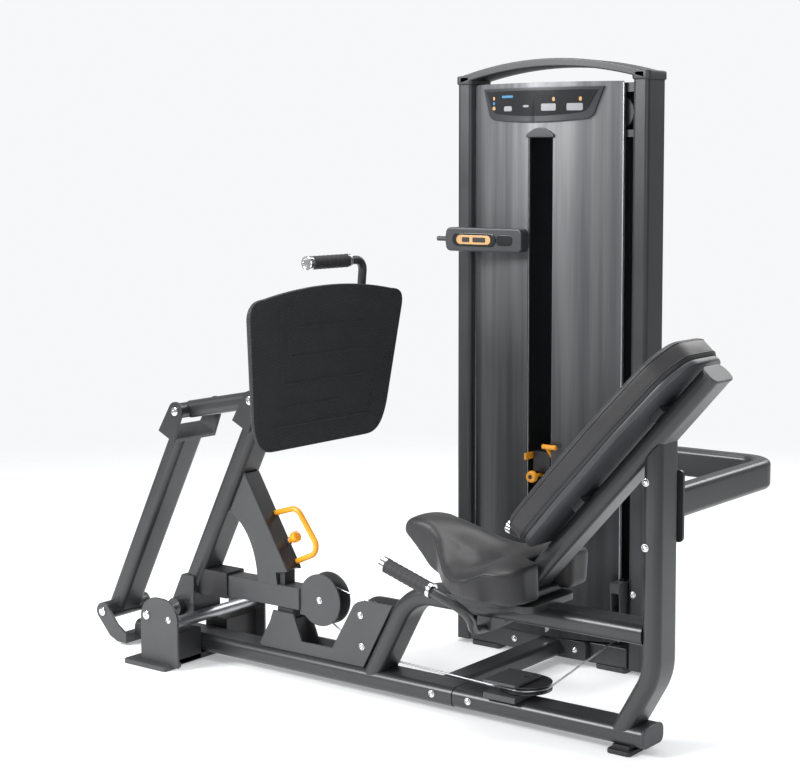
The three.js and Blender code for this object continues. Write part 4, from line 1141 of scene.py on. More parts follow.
    def boards(self) -> None:
        """Makes the moulded boards that close the undersides."""
        board = self.shop.start().slab(self.back_outline(7), Axis.Z, 36.5, 52, 4.0)
        self.shop.finish(board.turn(self.leaning()), "back_board", "frame", "black_plastic",
                         self.shop.palette.plastic)
        plates = self.shop.start()
        for along in (300, 620):
            plates.block((along, along + 40), (-8, 112), (20, 38), 2.0)
        self.shop.finish(plates.turn(self.leaning()), "back_pad_straps", "frame", "frame_coat",
                         self.shop.palette.frame)
        tray = Outline.softened([(-545, 22), (-430, -105), (-275, -105), (-275, 209),
                                 (-430, 209), (-545, 82)], 40)
        self.shop.finish(self.shop.start().slab(tray, Axis.Z, 346, 364, 5.0), "seat_board",
                         "frame", "black_plastic", self.shop.palette.plastic)


class Grips:
    """The bar under the seat with its two hand grips."""

    reach = [(-425, 282, 391), (-394, 281, 381), (-362, 268, 362), (-352, 235, 336),
             (-372, 185, 302), (-412, 125, 266), (-436, 75, 246), (-440, 25, 243)]

    def __init__(self, shop: Workshop) -> None:
        """Keeps the shop."""
        self.shop = shop

    def rod(self, name: str, points: list[Vector], radius: float, body: str, slot: str,
            finish: bpy.types.Material, *stands_for: str) -> None:
        """Makes a smooth round bar through points."""
        curve = bpy.data.curves.new(name, "CURVE")
        curve.dimensions, curve.bevel_depth, curve.bevel_resolution = "3D", radius * MM, 7
        curve.use_fill_caps, curve.resolution_u = True, 8
        line = curve.splines.new("NURBS")
        line.points.add(len(points) - 1)
        for spot, where in zip(line.points, points, strict=True):
            spot.co = (*where, 1)
        line.use_endpoint_u, line.order_u = True, 4
        holder = bpy.data.objects.new(f"{name}_line", curve)
        mesh = bpy.data.meshes.new_from_object(holder)
        bpy.data.objects.remove(holder)
        mesh.polygons.foreach_set("use_smooth", [True] * len(mesh.polygons))
        mesh.set_sharp_from_angle(angle=SMOOTH_BELOW)
        self.shop.deliver(name, mesh, body, slot, finish, stands_for)

    def sleeve(self, name: str, root: Vector, tip: Vector, body: str, node: str) -> None:
        """Makes a rubber grip with its plated end cap and collar.

        Args:
            name: The grip's name.
            root: Where the bar enters it.
            tip: Its free end.
            body: The body that it rides on.
            node: The CAD node that it stands for.
        """
        palette, along = self.shop.palette, (tip - root)
        length, way = along.length / MM, along.normalized()
        rubber = [(12, 6)]
        for k in range(9):
            place = 8 + k * (length - 34) / 8
            rubber += [(18.0, place), (18.7, place + 2), (18.7, place + 8), (18.0, place + 10)]
        rubber += [(17.5, length - 14), (12, length - 12)]
        grip = self.shop.start().lathe(rubber, root, way)
        self.shop.finish(grip, f"{name}_rubber", body, "rubber", palette.rubber, node)
        trim = self.shop.start()
        trim.lathe([(12.5, 0), (18.6, 0), (19, 1), (19, 9), (18.4, 10), (12.5, 10)], root, way)
        n = length
        trim.lathe([(12, n - 18), (18.4, n - 18), (19, n - 17), (19, n - 3), (17, n - 0.5),
                    (14, n), (12.5, n - 0.6), (11.5, n - 3), (5, n - 4), (0, n - 4)], root, way)
        self.shop.finish(trim, f"{name}_trim", body, "chrome", palette.chrome)

    def build(self) -> None:
        """Makes the bar and both grips."""
        at = self.shop.datum.at
        halves = [[at(x, MID_Y + side * y, z) for x, y, z in self.reach] for side in (-1, 1)]
        self.rod("hand_bar", [*halves[0], *reversed(halves[1])], 12, "frame", "frame_coat",
                 self.shop.palette.frame, "handle_bar")
        clamp = self.shop.start().block((-462, -418), (18, 86), (238, 274.7), 3.0)
        self.shop.finish(clamp, "hand_bar_clamp", "frame", "frame_coat", self.shop.palette.frame)
        for side, label in ((-1, "near"), (1, "far")):
            y = MID_Y + side * 282
            self.sleeve(f"hand_grip_{label}", at(-421, y, 391), at(-577, y, 440), "frame",
                        f"grip_{label}")


# ---------------------------------------------------------------- linkage


@dataclass
class Linkage:
    """The two leaning arms, the lever with its adjuster, and their pivots."""

    shop: Workshop
    rise: float = 630.0
    reach: float = 310.0
    ear: float = 85.0
    inner: float = 79.0
    thick: float = 8.0

    def arm(self, x: float, z: float) -> Workpiece:
        """Makes an arm with a sleeve at its foot and a fork at its head."""
        work, length = self.shop.start(), math.hypot(self.reach, self.rise)
        fork = length - self.ear
        at = self.shop.datum.at
        work.sweep([at(x, MID_Y, z + 12), at(x, MID_Y, z + fork + 1)],
                   Outline.rounded(98, 55, 20, steps=8), Axis.Y.value)
        cheek = (Outline(x - 34, z + fork).line(x + 34, z + fork)
                 .arc(x, z + length, 27, 0.0, math.pi, 24))
        out = self.inner + self.thick
        for low in (MID_Y - out, MID_Y + self.inner):
            work.slab(cheek, Axis.Y, low, low + self.thick, 1.4)
        work.block((x - 34, x + 34), (MID_Y - self.inner - 1, MID_Y + self.inner + 1),
                   (z + fork, z + fork + 12), 1.0)
        work.pin(x, z, 27, (MID_Y - self.inner + 1, MID_Y + self.inner - 1), 1.5)
        return work.turn(lean(at(x, MID_Y, z), -math.atan2(self.reach, self.rise)))

    def build(self) -> None:
        """Makes every piece."""
        shop, palette = self.shop, self.shop.palette
        shop.finish(self.arm(-1788, 90), "rear_link_weldment", "rear_link", "frame_coat",
                    palette.frame, "rear_link")
        press = self.arm(-1500, 145)
        boot = Outline.softened([(-1534, 150), (-1490, 241), (-1441, 241), (-1441, 128),
                                 (-1492, 112), (-1522, 122)], 5)
        press.slab(boot, Axis.Y, MID_Y - 56, MID_Y + 56, 2.5)
        shop.finish(press, "press_arm_weldment", "press_arm", "frame_coat", palette.frame,
                    "press_arm")
        self.rear_fork()
        self.pivots()
        self.lever()
        self.adjuster()

    def rear_fork(self) -> None:
        """Makes the fork on the rail's end."""
        work = self.shop.start()
        cheek = (Outline(-1760, 22).line(-1728, 8).line(-1690.3, 8).line(-1690.3, 36)
                 .line(-1728, 60).arc(-1788, 90, 27, math.pi / 6, math.pi / 6 + math.pi, 24))
        out = self.inner + self.thick
        for low in (MID_Y - out, MID_Y + self.inner):
            work.slab(cheek, Axis.Y, low, low + self.thick, 1.4)
        work.block((-1722, -1690.3), (MID_Y - self.inner - 1, MID_Y + self.inner + 1), (8, 34),
                   1.5)
        self.shop.finish(work, "rear_fork", "frame", "frame_coat", self.shop.palette.plate,
                         "rear_bracket")

    def pivots(self) -> None:
        """Makes the plated pivot pins with their caps."""
        side = self.inner + self.thick
        pins = {
            "rear_link_lower_pin": ("frame", -1788, 90, side),
            "rear_link_upper_pin": ("rear_link", -1478, 720, side),
            "press_arm_upper_pin": ("press_arm", -1190, 775, side),
            "press_arm_shaft": ("frame", -1500, 145, 187),
        }
        for node, (body, x, z, reach) in pins.items():
            work = self.shop.start()
            work.pin(x, z, 8, (MID_Y - reach, MID_Y + reach), 0.5)
            for way in (-1, 1):
                face = self.shop.datum.at(x, MID_Y + way * reach, z)
                work.lathe([(0, 0.4), (12.8, 0.4), (13, 1.2), (12.4, 3.2), (10.4, 4.6), (7, 5.1),
                            (5.4, 5), (5, 4.4), (5, 2.4), (0, 2.4)], face, Vector((0, way, 0)))
            self.shop.finish(work, f"{node}_caps", body, "chrome", self.shop.palette.chrome, node)

    def lever(self) -> None:
        """Makes the lever beam, its strut and the pulley's cheeks."""
        work = self.shop.start()
        work.block((-1331, -1064), (21, 83), (192, 254), 4.0)
        strut = (Outline(-1217, 252).line(-1143, 252).line(-1149, 287).line(-1106, 295)
                 .line(-1265.6, 557.5).line(-1322.4, 442.4).line(-1281, 413).line(-1269, 400)
                 .quad(-1222, 345, -1217, 252))
        for low in (21, 75):
            work.slab(strut, Axis.Y, low, low + 8, 1.6)
        tilt = math.asin(50 / 72)
        cheek = Outline(-1066, 180).line(-995 - math.cos(tilt) * 72, 180)
        cheek.arc(-995, 230, 72, math.pi + tilt, 3 * math.pi - 0.35, 48).line(-1066, 254)
        for low in (28, 70):
            work.slab(cheek, Axis.Y, low, low + 6, 1.2)
        self.shop.finish(work, "lever_weldment", "press_arm", "frame_coat",
                         self.shop.palette.plate, "lever")
        # The clamp block is black partly as its own colour and partly as painted shade; the block at the
        # strut's foot is painted shade for the strut's shadowed recess.
        dark = self.shop.start()
        dark.block((-1440.7, -1329), (14, 90), (186, 262), 3.0)
        dark.block((-1142, -1122), (30, 74), (252, 300), 2.0)
        rail = [self.shop.datum.at(-1112, MID_Y, 297), self.shop.datum.at(-1267, MID_Y, 552)]
        dark.sweep(rail, Outline.rounded(60, 12, 1), Axis.Y.value, 0.5)
        self.shop.finish(dark, "adjuster_rail_and_shade_blocks", "press_arm", "cast_iron", self.shop.palette.iron_and_shade)

    def adjuster(self) -> None:
        """Makes the looped handle and the sprung pin on the strut's face."""
        shop, at = self.shop, self.shop.datum.at
        corners = [(-1197, 442), (-1116, 466), (-1030, 352), (-1120, 313)]
        run = rounded_run([at(x, 76, z) for x, z in corners], 30 * MM, 10)
        loop = shop.start().sweep(run, Outline.rounded(16, 16, 7.9, steps=7), Axis.Y.value, 1.0)
        shop.finish(loop, "adjuster_loop", "press_arm", "yellow_coat", shop.palette.yellow,
                    "adjust_handle")
        out = Vector((0.8545, 0, 0.5195))
        seat = at(-1148.7, 72, 365.3)
        knob = shop.start().lathe(
            [(0, -20), (6, -20), (6, 21), (11, 23), (14.5, 26), (16, 31), (16, 39), (14.8, 43.5),
             (11, 45.8), (5, 46.4), (0, 46.4)], seat, out)
        shop.finish(knob, "pop_pin_knob", "pop_pin", "yellow_coat", shop.palette.yellow,
                    "pop_pin")
        nut = shop.start()
        nut.bar(seat + out * 2 * MM, seat + out * 13 * MM, 11, 1.0, 6)
        shop.finish(nut, "pop_pin_barrel", "press_arm", "chrome", shop.palette.chrome)


# ---------------------------------------------------------------- footplate


@dataclass
class Footplate:
    """The rubber-faced plate, its carrier and coupler, and the bar above it."""

    shop: Workshop
    x: float = -1016.0
    z: float = 664.0
    top: float = 323.0
    bottom: float = 266.0
    height: float = 420.0
    crown: float = 44.0
    lean: float = 0.09
    face: float = 12.0

    def outline(self, inset: float = 0.0) -> Outline:
        """Gives the plate's shape across and up from its foot."""
        b, t, low, high = self.bottom - inset, self.top - inset, inset, self.height - inset
        m = MID_Y
        return (Outline(m - b + 70, low).line(m + b - 70, low)
                .cubic(m + b - 20, low, m + b + 5, low + 25, m + b + 18, low + 90)
                .line(m + t, high - 55)
                .cubic(m + t + 2, high - 25, m + t - 8, high - 8, m + t - 50, high - 6)
                .quad(m, high + self.crown, m - t + 50, high - 6)
                .cubic(m - t + 8, high - 8, m - t - 2, high - 25, m - t, high - 55)
                .line(m - b - 18, low + 90)
                .cubic(m - b - 5, low + 25, m - b + 20, low, m - b + 70, low))

    def leaned(self) -> Matrix:
        """Gives the placing from an upright plate at the datum to its lean."""
        at = self.shop.datum.at
        return (Matrix.Translation(at(self.x, 0, self.z)) @ Matrix.Rotation(self.lean, 4, "Y")
                @ Matrix.Translation(-at(0, 0, 0)))

    def build(self) -> None:
        """Makes every piece."""
        shop, palette = self.shop, self.shop.palette
        mat = shop.start().slab(self.outline(), Axis.X, 0.3, self.face, 4.0)
        shop.finish(mat.turn(self.leaned()), "foot_mat", "footplate", "rubber", palette.tread,
                    "footplate_pad")
        self.mould_lines()
        back = shop.start().slab(self.outline(8), Axis.X, -10, 0, 2.0)
        for low in (MID_Y - 70, MID_Y + 62):
            back.block((-54, -8), (low, low + 8), (20, 330), 1.2)
        back.block((-20, -8), (MID_Y - 90, MID_Y + 90), (20, 330), 1.2)
        back.block((-20, -8), (MID_Y - 220, MID_Y + 220), (170, 250), 2.0)
        shop.finish(back.turn(self.leaned()), "foot_carrier", "footplate", "frame_coat",
                    palette.frame, "footplate_carrier")
        self.coupler()
        self.hand_bar()

    def mould_lines(self) -> None:
        """Makes the nested lines moulded into the mat's face."""
        work, at = self.shop.start(), self.shop.datum.at
        m = MID_Y
        lines = [
            [(m - 209, 396), (m - 180, 181), (m + 165, 181)],
            [(m - 181, 404), (m - 160, 254), (m + 165, 254)],
            [(m - 157, 410), (m - 146, 332), (m + 165, 332)],
            [(m - 150, 118), (m + 60, 118)],
            [(m - 205, 66), (m + 205, 66), (m + 213, 122)],
        ]
        for line in lines:
            corners = [at(self.face - 0.2, y, z) for y, z in line]
            run = rounded_run(corners, 16 * MM, 6) if len(line) > 2 else corners
            work.sweep(run, Outline.rounded(2.6, 6.4, 1.2, steps=3), Axis.X.value)
        # The lines are near-black as painted shade, for the shade along each moulded ridge of the same
        # rubber.
        self.shop.finish(work.turn(self.leaned()), "foot_mat_lines", "footplate", "rubber",
                         self.shop.palette.piping)

    def coupler(self) -> None:
        """Makes the beam between the two arms' heads."""
        shop, at = self.shop, self.shop.datum.at
        head, tail = at(-1190, MID_Y, 775), at(-1478, MID_Y, 720)
        way = (head - tail).normalized()
        work = shop.start().sweep([tail + way * 6 * MM, head + way * 138 * MM],
                                  Outline.rounded(98, 50, 20, steps=8), Axis.Y.value, 1.0)
        for x, z in ((-1190, 775), (-1478, 720)):
            work.pin(x, z, 22, (MID_Y - 78, MID_Y + 78), 1.5)
        shop.finish(work, "coupler_weldment", "footplate", "frame_coat", shop.palette.frame,
                    "coupler")

    def hand_bar(self) -> None:
        """Makes the bent bar and grip above the plate."""
        shop, at = self.shop, self.shop.datum.at
        x, z = -34, 494
        run = rounded_run([at(x, 52, z), at(x, 238, z), at(x, 238, 180)], 32 * MM, 12)
        bar = shop.start().sweep(run, Outline.rounded(24, 24, 11.9, steps=8), Axis.X.value, 1.0)
        shop.finish(bar.turn(self.leaned()), "plate_hand_bar", "footplate", "frame_coat",
                    shop.palette.frame, "top_handle")
        place = self.leaned()
        Grips(shop).sleeve("plate_grip", place @ at(x, 172, z), place @ at(x, -10, z),
                           "footplate", "top_grip")


# ---------------------------------------------------------------- tower


@dataclass
class Tower:
    """The posts, shroud, cap, placard and counter of the weight tower."""

    shop: Workshop
    left: float = -942.0
    right: float = -306.0
    front: float = 602.0
    depth: float = 100.0
    head: float = 1655.0
    panel_left: float = -889.0
    panel_right: float = -397.0
    sagitta: float = 62.0
    edge: float = 630.0
    slot_left: float = -669.0
    slot_right: float = -588.0

    def bow(self, x: float, extra: float = 0.0) -> float:
        """Gives the shroud's outer face, in Y, at a place across it."""
        half = (self.panel_right - self.panel_left) / 2
        radius = (half * half + self.sagitta**2) / (2 * self.sagitta)
        middle = (self.panel_left + self.panel_right) / 2
        return (self.edge - extra + radius - self.sagitta
                - math.sqrt(radius**2 - (x - middle) ** 2))

    def build(self) -> None:
        """Makes every piece."""
        self.posts()
        self.cap()
        self.shroud()
        self.placard()
        self.counter()

    def posts(self) -> None:
        """Makes the two posts and the beam at their feet."""
        shop = self.shop
        middle = self.front + self.depth / 2
        for side, x in (("left", self.left + 25), ("right", self.right - 25)):
            post = shop.start().slab(Outline.rounded(50, self.depth, 12, x, middle, 8), Axis.Z, 12,
                                     self.head, 0)
            shop.finish(post, f"tower_post_{side}_tube", "frame", "frame_coat",
                        shop.palette.frame, f"tower_post_{side}")
        base = shop.start().block((self.left + 50.3, self.right - 50.3),
                                  (self.front, self.front + self.depth), (12, 72), 6.0)
        for x in (-834, -407):
            base.slab(Outline.rounded(100, 108, 10, x, middle), Axis.Z, 0, 14, 3.0)
        shop.finish(base, "tower_base_beam", "frame", "frame_coat", shop.palette.frame,
                    "tower_base")
        strips = shop.start()
        for x in (self.panel_left - 1, self.panel_right + 1):
            strips.block((x - 2, x + 2), (624, 634), (80, 1650), 1.0)
        for x in (self.slot_left, self.slot_right):
            y = self.bow(x)
            strips.block((x - 2.5, x + 2.5), (y - 1.5, y + 6), (132, 1506), 1.2)
        shop.finish(strips, "shroud_edge_strips", "frame", "silver_panel", shop.palette.steel)

    def cap(self) -> None:
        """Makes the arched cap over the posts."""
        low, high, top = self.left + 10, self.right - 10, self.head
        middle = (low + high) / 2
        arch = (Outline(low, top + 2).quad(middle, 1742, high, top + 2, 28).line(high, top + 24)
                .quad(middle, 1766, low, top + 24, 28))
        work = self.shop.start().slab(arch, Axis.Y, self.front - 4, self.front + self.depth + 4,
                                      4.0)
        for x in (self.left + 25, self.right - 25):
            work.slab(Outline.rounded(58, self.depth + 8, 14, x, self.front + self.depth / 2),
                      Axis.Z, top + 0.3, top + 26, 5.0)
        self.shop.finish(work, "tower_cap", "frame", "black_plastic", self.shop.palette.plastic,
                         "top_cap")

    def shroud(self) -> None:
        """Makes the bowed front panel with its slot, and the back panel."""
        shop, at = self.shop, self.shop.datum.at
        work = shop.start()
        columns, foot, head = 46, 78.0, 1654.0
        xs = sorted({*(self.panel_left + (self.panel_right - self.panel_left) * k / columns
                       for k in range(columns + 1)), self.slot_left, self.slot_right})
        zs = [foot, 130.0, 1508.0, head]
        verts = [work.bm.verts.new(at(x, self.bow(x), zs[0])) for x in xs]
        edges = [work.bm.edges.new(pair) for pair in zip(verts, verts[1:], strict=False)]
        for before, after in zip(zs, zs[1:], strict=False):
            grown = bmesh.ops.extrude_edge_only(work.bm, edges=edges)["geom"]
            moved = [v for v in grown if isinstance(v, bmesh.types.BMVert)]
            edges = [e for e in grown if isinstance(e, bmesh.types.BMEdge)]
            bmesh.ops.translate(work.bm, verts=moved, vec=(0, 0, (after - before) * MM))
        low, high = at(self.slot_left, 0, 130), at(self.slot_right, 0, 1508)
        hole = [f for f in work.bm.faces
                if low.x < f.calc_center_median().x < high.x
                and low.z < f.calc_center_median().z < high.z]
        bmesh.ops.delete(work.bm, geom=hole, context="FACES")
        bmesh.ops.recalc_face_normals(work.bm, faces=work.bm.faces[:])
        bmesh.ops.solidify(work.bm, geom=work.bm.faces[:], thickness=4.5 * MM)
        shop.finish(work, "shroud_panel", "frame", "silver_panel", shop.palette.panel,
                    "front_shroud")
        arch = (Outline(self.slot_left - 5, 1500).line(self.slot_right + 5, 1500)
                .line(self.slot_right + 5, 1508).quad(-628.5, 1548, self.slot_left - 5, 1508))
        y = self.bow(self.slot_left)
        cover = shop.start().slab(arch, Axis.Y, y - 9, y + 6, 2.5)
        shop.finish(cover, "slot_head_cover", "frame", "black_plastic", shop.palette.plastic)
        y = self.bow(-636)
        badge = shop.start().lathe([(30, 0), (45, 0), (45.5, 1), (44, 2.6), (31, 2.6), (30, 1.6),
                                    (30, 0)], Vector((0, 0, 0)), Axis.Y.value)
        badge.turn(Matrix.Translation(at(-636, y - 3, 100)) @ Matrix.Diagonal((1, 1, 0.4, 1)))
        shop.finish(badge, "shroud_foot_ring", "frame", "silver_panel", shop.palette.steel)
        shop.refine("rear_shroud", "frame", "black_plastic", shop.palette.plastic)

    def placard_plate(self, grow: float, low: float, high: float) -> Outline:
        """Gives the placard's shape."""
        m = (self.panel_left + self.panel_right) / 2
        return (Outline(m - 202 - grow, high).line(m + 202 + grow, high)
                .line(m + 176 + grow, low + 24)
                .quad(m + 168 + grow, low + 10, m + 150 + grow, low + 8)
                .quad(m, low - 8, m - 150 - grow, low + 8)
                .quad(m - 168 - grow, low + 10, m - 176 - grow, low + 24))

    def bowed(self, work: Workpiece, stand: float, depth: float) -> Workpiece:
        """Bends a flat upright plate onto the shroud's bow.

        Args:
            work: A plate whose faces are at Y 0 and at its depth.
            stand: How far its back face stands off the shroud.
            depth: Its depth.

        Returns:
            The workpiece.
        """
        origin = self.shop.datum.at(0, 0, 0)
        cuts = 24
        for k in range(1, cuts):
            x = self.panel_left + (self.panel_right - self.panel_left) * k / cuts
            bmesh.ops.bisect_plane(
                work.bm, geom=[*work.bm.verts, *work.bm.edges, *work.bm.faces],
                plane_co=self.shop.datum.at(x, 0, 0), plane_no=(1, 0, 0))
        for v in work.bm.verts:
            x = (v.co.x - origin.x) / MM
            x = min(self.panel_right - 1, max(self.panel_left + 1, x))
            v.co.y += (self.bow(x) - stand - depth) * MM
        return work

    def placard(self) -> None:
        """Makes the instruction placard with blank generic panels."""
        shop, palette = self.shop, self.shop.palette
        bezel = shop.start().slab(self.placard_plate(0, 1542, 1640), Axis.Y, 0, 9, 3.0)
        shop.finish(self.bowed(bezel, 3, 9), "placard_bezel", "frame", "black_plastic",
                    palette.plastic, "placard")
        face = shop.start().slab(self.placard_plate(-14, 1560, 1632), Axis.Y, 0, 2, 0.6)
        shop.finish(self.bowed(face, 11.2, 2), "placard_face", "frame", "black_plastic",
                    palette.gloss)
        panels = {
            "pale": (palette.pale, [(-738, 1582, 30, 14), (-672, 1588, 20, 6),
                                    (-598, 1584, 46, 20), (-520, 1584, 46, 20)]),
            "blue": (palette.blue, [(-740, 1616, 44, 7), (-795, 1598, 9, 9)]),
            "warm": (palette.lamp, [(-795, 1612, 8, 10), (-795, 1584, 12, 10),
                                    (-582, 1606, 8, 12), (-504, 1606, 8, 12)]),
        }
        for label, (finish, tiles) in panels.items():
            work = shop.start()
            for x, z, width, height in tiles:
                work.slab(Outline.rounded(width, height, 4, x, z, 4), Axis.Y, 0, 1, 0.2)
            shop.finish(self.bowed(work, 12.6, 1), f"placard_{label}_tiles", "frame",
                        "black_plastic", finish)

    def counter(self) -> None:
        """Makes the repetition counter with its lit window."""
        shop, palette = self.shop, self.shop.palette
        case = shop.start().slab(Outline.rounded(262, 68, 16, -780, 1210, 8), Axis.Y, 500, 540,
                                 5.0)
        case.bar(shop.datum.at(-952, 520, 1210), shop.datum.at(-905, 520, 1210), 7, 1.5)
        case.block((-925, -897), (520, 601.7), (1195, 1225), 2.0)
        shop.finish(case, "counter_case", "frame", "black_plastic", palette.plastic,
                    "rep_counter")
        rim = shop.start().slab(Outline.rounded(150, 38, 18.9, -810, 1210, 10), Axis.Y, 496.5, 502,
                                2.0)
        rim.slab(Outline.rounded(54, 30, 12, -706, 1210, 8), Axis.Y, 498.5, 502, 1.0)
        shop.finish(rim, "counter_bezel", "frame", "black_plastic", palette.gloss)
        glow = shop.start().slab(Outline.rounded(118, 26, 12.9, -810, 1210, 10), Axis.Y, 495.5,
                                 498, 0.8)
        shop.finish(glow, "counter_window", "frame", "black_plastic", palette.lamp)
        digits = shop.start()
        for x, width in ((-836, 26), (-790, 44)):
            digits.slab(Outline.rounded(width, 14, 3, x, 1210, 4), Axis.Y, 494.8, 496, 0.3)
        shop.finish(digits, "counter_blanks", "frame", "black_plastic", palette.iron_and_shade)


class Selector:
    """The selector pin's knob and the increment lever in the slot."""

    def __init__(self, shop: Workshop) -> None:
        """Keeps the shop."""
        self.shop = shop

    def build(self) -> None:
        """Makes the yellow parts that a hand works."""
        shop, at, palette = self.shop, self.shop.datum.at, self.shop.palette
        z = 525.3 + 12.5
        knob = shop.start().lathe(
            [(0, -38), (5, -38), (5, 45), (11, 46), (15, 48.5), (17, 52), (17, 59), (15.4, 63.5),
             (12.5, 65.8), (8, 66), (7.4, 64.6), (0, 64.6)], at(-639, 602, z),
            Vector((0, -1, 0)))
        shop.finish(knob, "selector_knob", "selector_pin", "yellow_coat", palette.yellow,
                    "selector_pin")
        eye = shop.start().lathe([(0, 64.8), (6, 64.8), (6, 65.7), (0, 65.7)],
                                 at(-639, 602, z), Vector((0, -1, 0)))
        shop.finish(eye, "selector_knob_eye", "selector_pin", "yellow_coat", palette.iron_and_shade)
        shop.refine("increment_lever", "increment_lever", "yellow_coat", palette.yellow, 0.8)


# ---------------------------------------------------------------- cables


class Cables:
    """The two lengths of cable, made as still meshes where they lie."""

    radius = 2.5

    def __init__(self, shop: Workshop) -> None:
        """Keeps the shop."""
        self.shop = shop

    def wrap(self, x: float, z: float, seat: float, start: float, end: float,
             steps: int) -> list[Vector]:
        """Gives points round a pulley, between two angles in degrees."""
        turns = [math.radians(start + (end - start) * k / steps) for k in range(steps + 1)]
        return [self.shop.datum.at(x + seat * math.cos(a), MID_Y, z + seat * math.sin(a))
                for a in turns]

    def rope(self, name: str, node: str, run: list[Vector], normal: Vector,
             body: str, start: Vector, end: Vector) -> None:
        """Makes a cable as a still mesh along a run, and hides its CAD node."""
        work = self.shop.start().sweep(run, Outline.rounded(5, 5, 2.4, steps=4), normal)
        bmesh.ops.subdivide_edges(
            work.bm, edges=[e for e in work.bm.edges if e.calc_length() > 0.02], cuts=12)
        mesh = work.mesh(name)
        piece = bpy.data.objects.new(name, mesh)
        bpy.context.scene.collection.objects.link(piece)
        mesh.materials.append(self.shop.palette.steel)
        tuple(start)
        tuple(end)
        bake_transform(piece)
        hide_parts(node)
        LOG.info("%s runs from frame to %s", name, body)

    def build(self) -> None:
        """Makes both cables."""
        at = self.shop.datum.at
        run = [*self.wrap(-841, 215, 30, 40, 84, 6), *self.wrap(-995, 230, 44, 84, 238, 24),
               *self.wrap(-836, 130, 30, 238, 268, 6)]
        self.rope("lever_cable_rope", "lever_cable", run, Axis.Y.value, "press_arm",
                  at(-850, MID_Y, 190), at(-960, MID_Y, 220))
        self.rope("stack_cable_rope", "stack_cable",
                  [at(-629, 652, 652.3), at(-629, 652, 1521.7)], Axis.Y.value, "stack",
                  at(-629, 652, 1510), at(-629, 652, 660))


# ---------------------------------------------------------------- inner works


class Works:
    """Pulleys, rods, brackets and weights, softened from their CAD solids."""

    def __init__(self, shop: Workshop) -> None:
        """Lists each node with its body, slot and finish."""
        self.shop = shop
        p = shop.palette
        self.nodes = [
            ("pulley_frame", "frame", "frame_coat", p.frame),
            ("tower_pulley_bracket", "frame", "frame_coat", p.plate),
            ("rail_pulley_bracket", "frame", "frame_coat", p.plate),
            ("guide_rod_left", "frame", "chrome", p.chrome),
            ("guide_rod_right", "frame", "chrome", p.chrome),
            ("weight_stack", "frame", "cast_iron", p.iron_and_shade),
            ("top_plate", "stack", "cast_iron", p.iron_and_shade),
            ("selector_rod", "stack", "chrome", p.chrome),
            ("cable_anchor", "frame", "cast_iron", p.iron_and_shade),
            ("main_cable", "frame", "steel", p.steel),
            *((name, name, "cast_iron", p.iron_and_shade) for name in (
                "lower_pulley", "rail_pulley", "tower_pulley", "lever_pulley",
                "top_pulley_centre", "top_pulley_side")),
        ]

    def build(self) -> None:
        """Makes every piece."""
        for node, body, slot, finish in self.nodes:
            self.shop.refine(node, body, slot, finish, 0.0)


# ---------------------------------------------------------------- studio


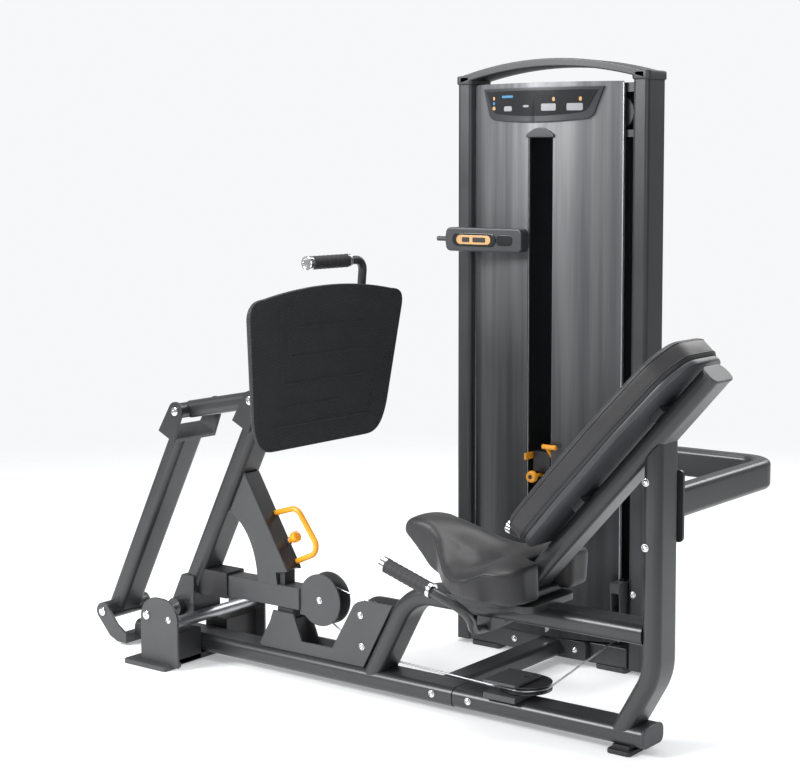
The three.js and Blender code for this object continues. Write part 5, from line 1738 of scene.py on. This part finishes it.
class Studio:
    """A pale floor, soft lights and the camera."""

    place = (2057.3, -3613.0, 1423.9)
    heading = math.radians(36.752)
    dip = math.radians(4.702)
    lens = 79.0
    shift = (-0.0208, -0.10)

    def __init__(self, datum: Datum) -> None:
        """Keeps the shared frame."""
        self.datum = datum

    def camera(self) -> None:
        """Stands the camera on the user's side, beyond the seat."""
        data = bpy.data.cameras.new("studio_camera")
        data.lens, data.sensor_width = self.lens, 36.0
        data.shift_x, data.shift_y = self.shift
        data.clip_end = 60
        camera = bpy.data.objects.new("studio_camera", data)
        camera.location = self.datum.at(*self.place)
        camera.rotation_euler = (math.pi / 2 - self.dip, 0, self.heading)
        bpy.context.scene.collection.objects.link(camera)
        bpy.context.scene.camera = camera

    def lamp(self, name: str, place: tuple, aim: tuple, size: float, power: float) -> None:
        """Hangs one soft lamp."""
        data = bpy.data.lights.new(name, "AREA")
        data.size, data.energy = size, power
        lamp = bpy.data.objects.new(name, data)
        lamp.location = place
        lamp.rotation_euler = (Vector(aim) - Vector(place)).to_track_quat("-Z", "Y").to_euler()
        bpy.context.scene.collection.objects.link(lamp)

    def build(self) -> None:
        """Sets the floor, the lamps and the sky."""
        self.camera()
        mesh = bpy.data.meshes.new("studio_floor")
        bm = bmesh.new()
        bmesh.ops.create_grid(bm, x_segments=1, y_segments=1, size=14)
        bm.to_mesh(mesh)
        bm.free()
        floor = bpy.data.objects.new("studio_floor", mesh)
        bpy.context.scene.collection.objects.link(floor)
        mesh.materials.append(self.ground())
        self.lamp("key_lamp", (-2.4, -4.2, 3.3), (0, 0, 0.6), 1.8, 330)
        self.lamp("fill_lamp", (3.2, -2.6, 2.0), (0, 0, 0.6), 2.2, 26)
        self.lamp("rim_lamp", (0.6, 3.6, 3.2), (0, 0, 0.8), 2.0, 70)
        self.lamp("top_lamp", (0.0, 0.2, 4.4), (0, 0, 0), 2.6, 130)
        self.sky()

    def ground(self) -> bpy.types.Material:
        """Makes a pale ground that fades out with distance."""
        g = Graph("pale_ground")
        place = g.place()
        far = g.node("ShaderNodeVectorMath", {"operation": "LENGTH"}, {0: place}, 1)
        fade = g.node("ShaderNodeMapRange", {"interpolation_type": "SMOOTHSTEP"}, {
            "Value": far, "From Min": 2.2, "From Max": 5.0, "To Min": 1.0, "To Max": 0.0})
        cloud = g.noise(place, 3.0, 2.0)
        g.set(Base_Color=g.blend(cloud, (0.8, 0.805, 0.81), (0.84, 0.845, 0.85)),
              Roughness=cloud * 0.1 + 0.5, Alpha=fade)
        g.shader.inputs["Emission Color"].default_value = (0.93, 0.94, 0.95, 1)
        g.shader.inputs["Emission Strength"].default_value = 0.3
        return g.material

    def sky(self) -> None:
        """Sets a dim soft surround behind a pale backdrop."""
        world = bpy.data.worlds.new("studio_sky")
        world.use_nodes = True
        tree = world.node_tree
        sky = tree.nodes["Background"]
        seen = tree.nodes.new("ShaderNodeLightPath")
        level = tree.nodes.new("ShaderNodeMapRange")
        level.inputs["To Min"].default_value = 0.42
        level.inputs["To Max"].default_value = 0.96
        tree.links.new(seen.outputs["Is Camera Ray"], level.inputs["Value"])
        tree.links.new(level.outputs[0], sky.inputs[1])
        sky.inputs[0].default_value = (0.97, 0.975, 0.985, 1)
        bpy.context.scene.world = world
        bpy.context.scene.view_settings.view_transform = "Standard"


def main() -> None:
    """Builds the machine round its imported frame."""
    logging.basicConfig(level=logging.INFO, format="%(name)s: %(message)s")
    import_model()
    datum = Datum()
    Studio(datum).build()
    shop = Workshop(datum, Palette.mixed())
    floor = FloorFrame(shop)
    floor.build()
    Seat(shop, floor).build()
    Grips(shop).build()
    Linkage(shop).build()
    Footplate(shop).build()
    Tower(shop).build()
    Selector(shop).build()
    Works(shop).build()
    Fasteners(shop).build()
    Cables(shop).build()
    LOG.info("%d pieces made", shop.made)


if __name__ == "__main__":
    main()
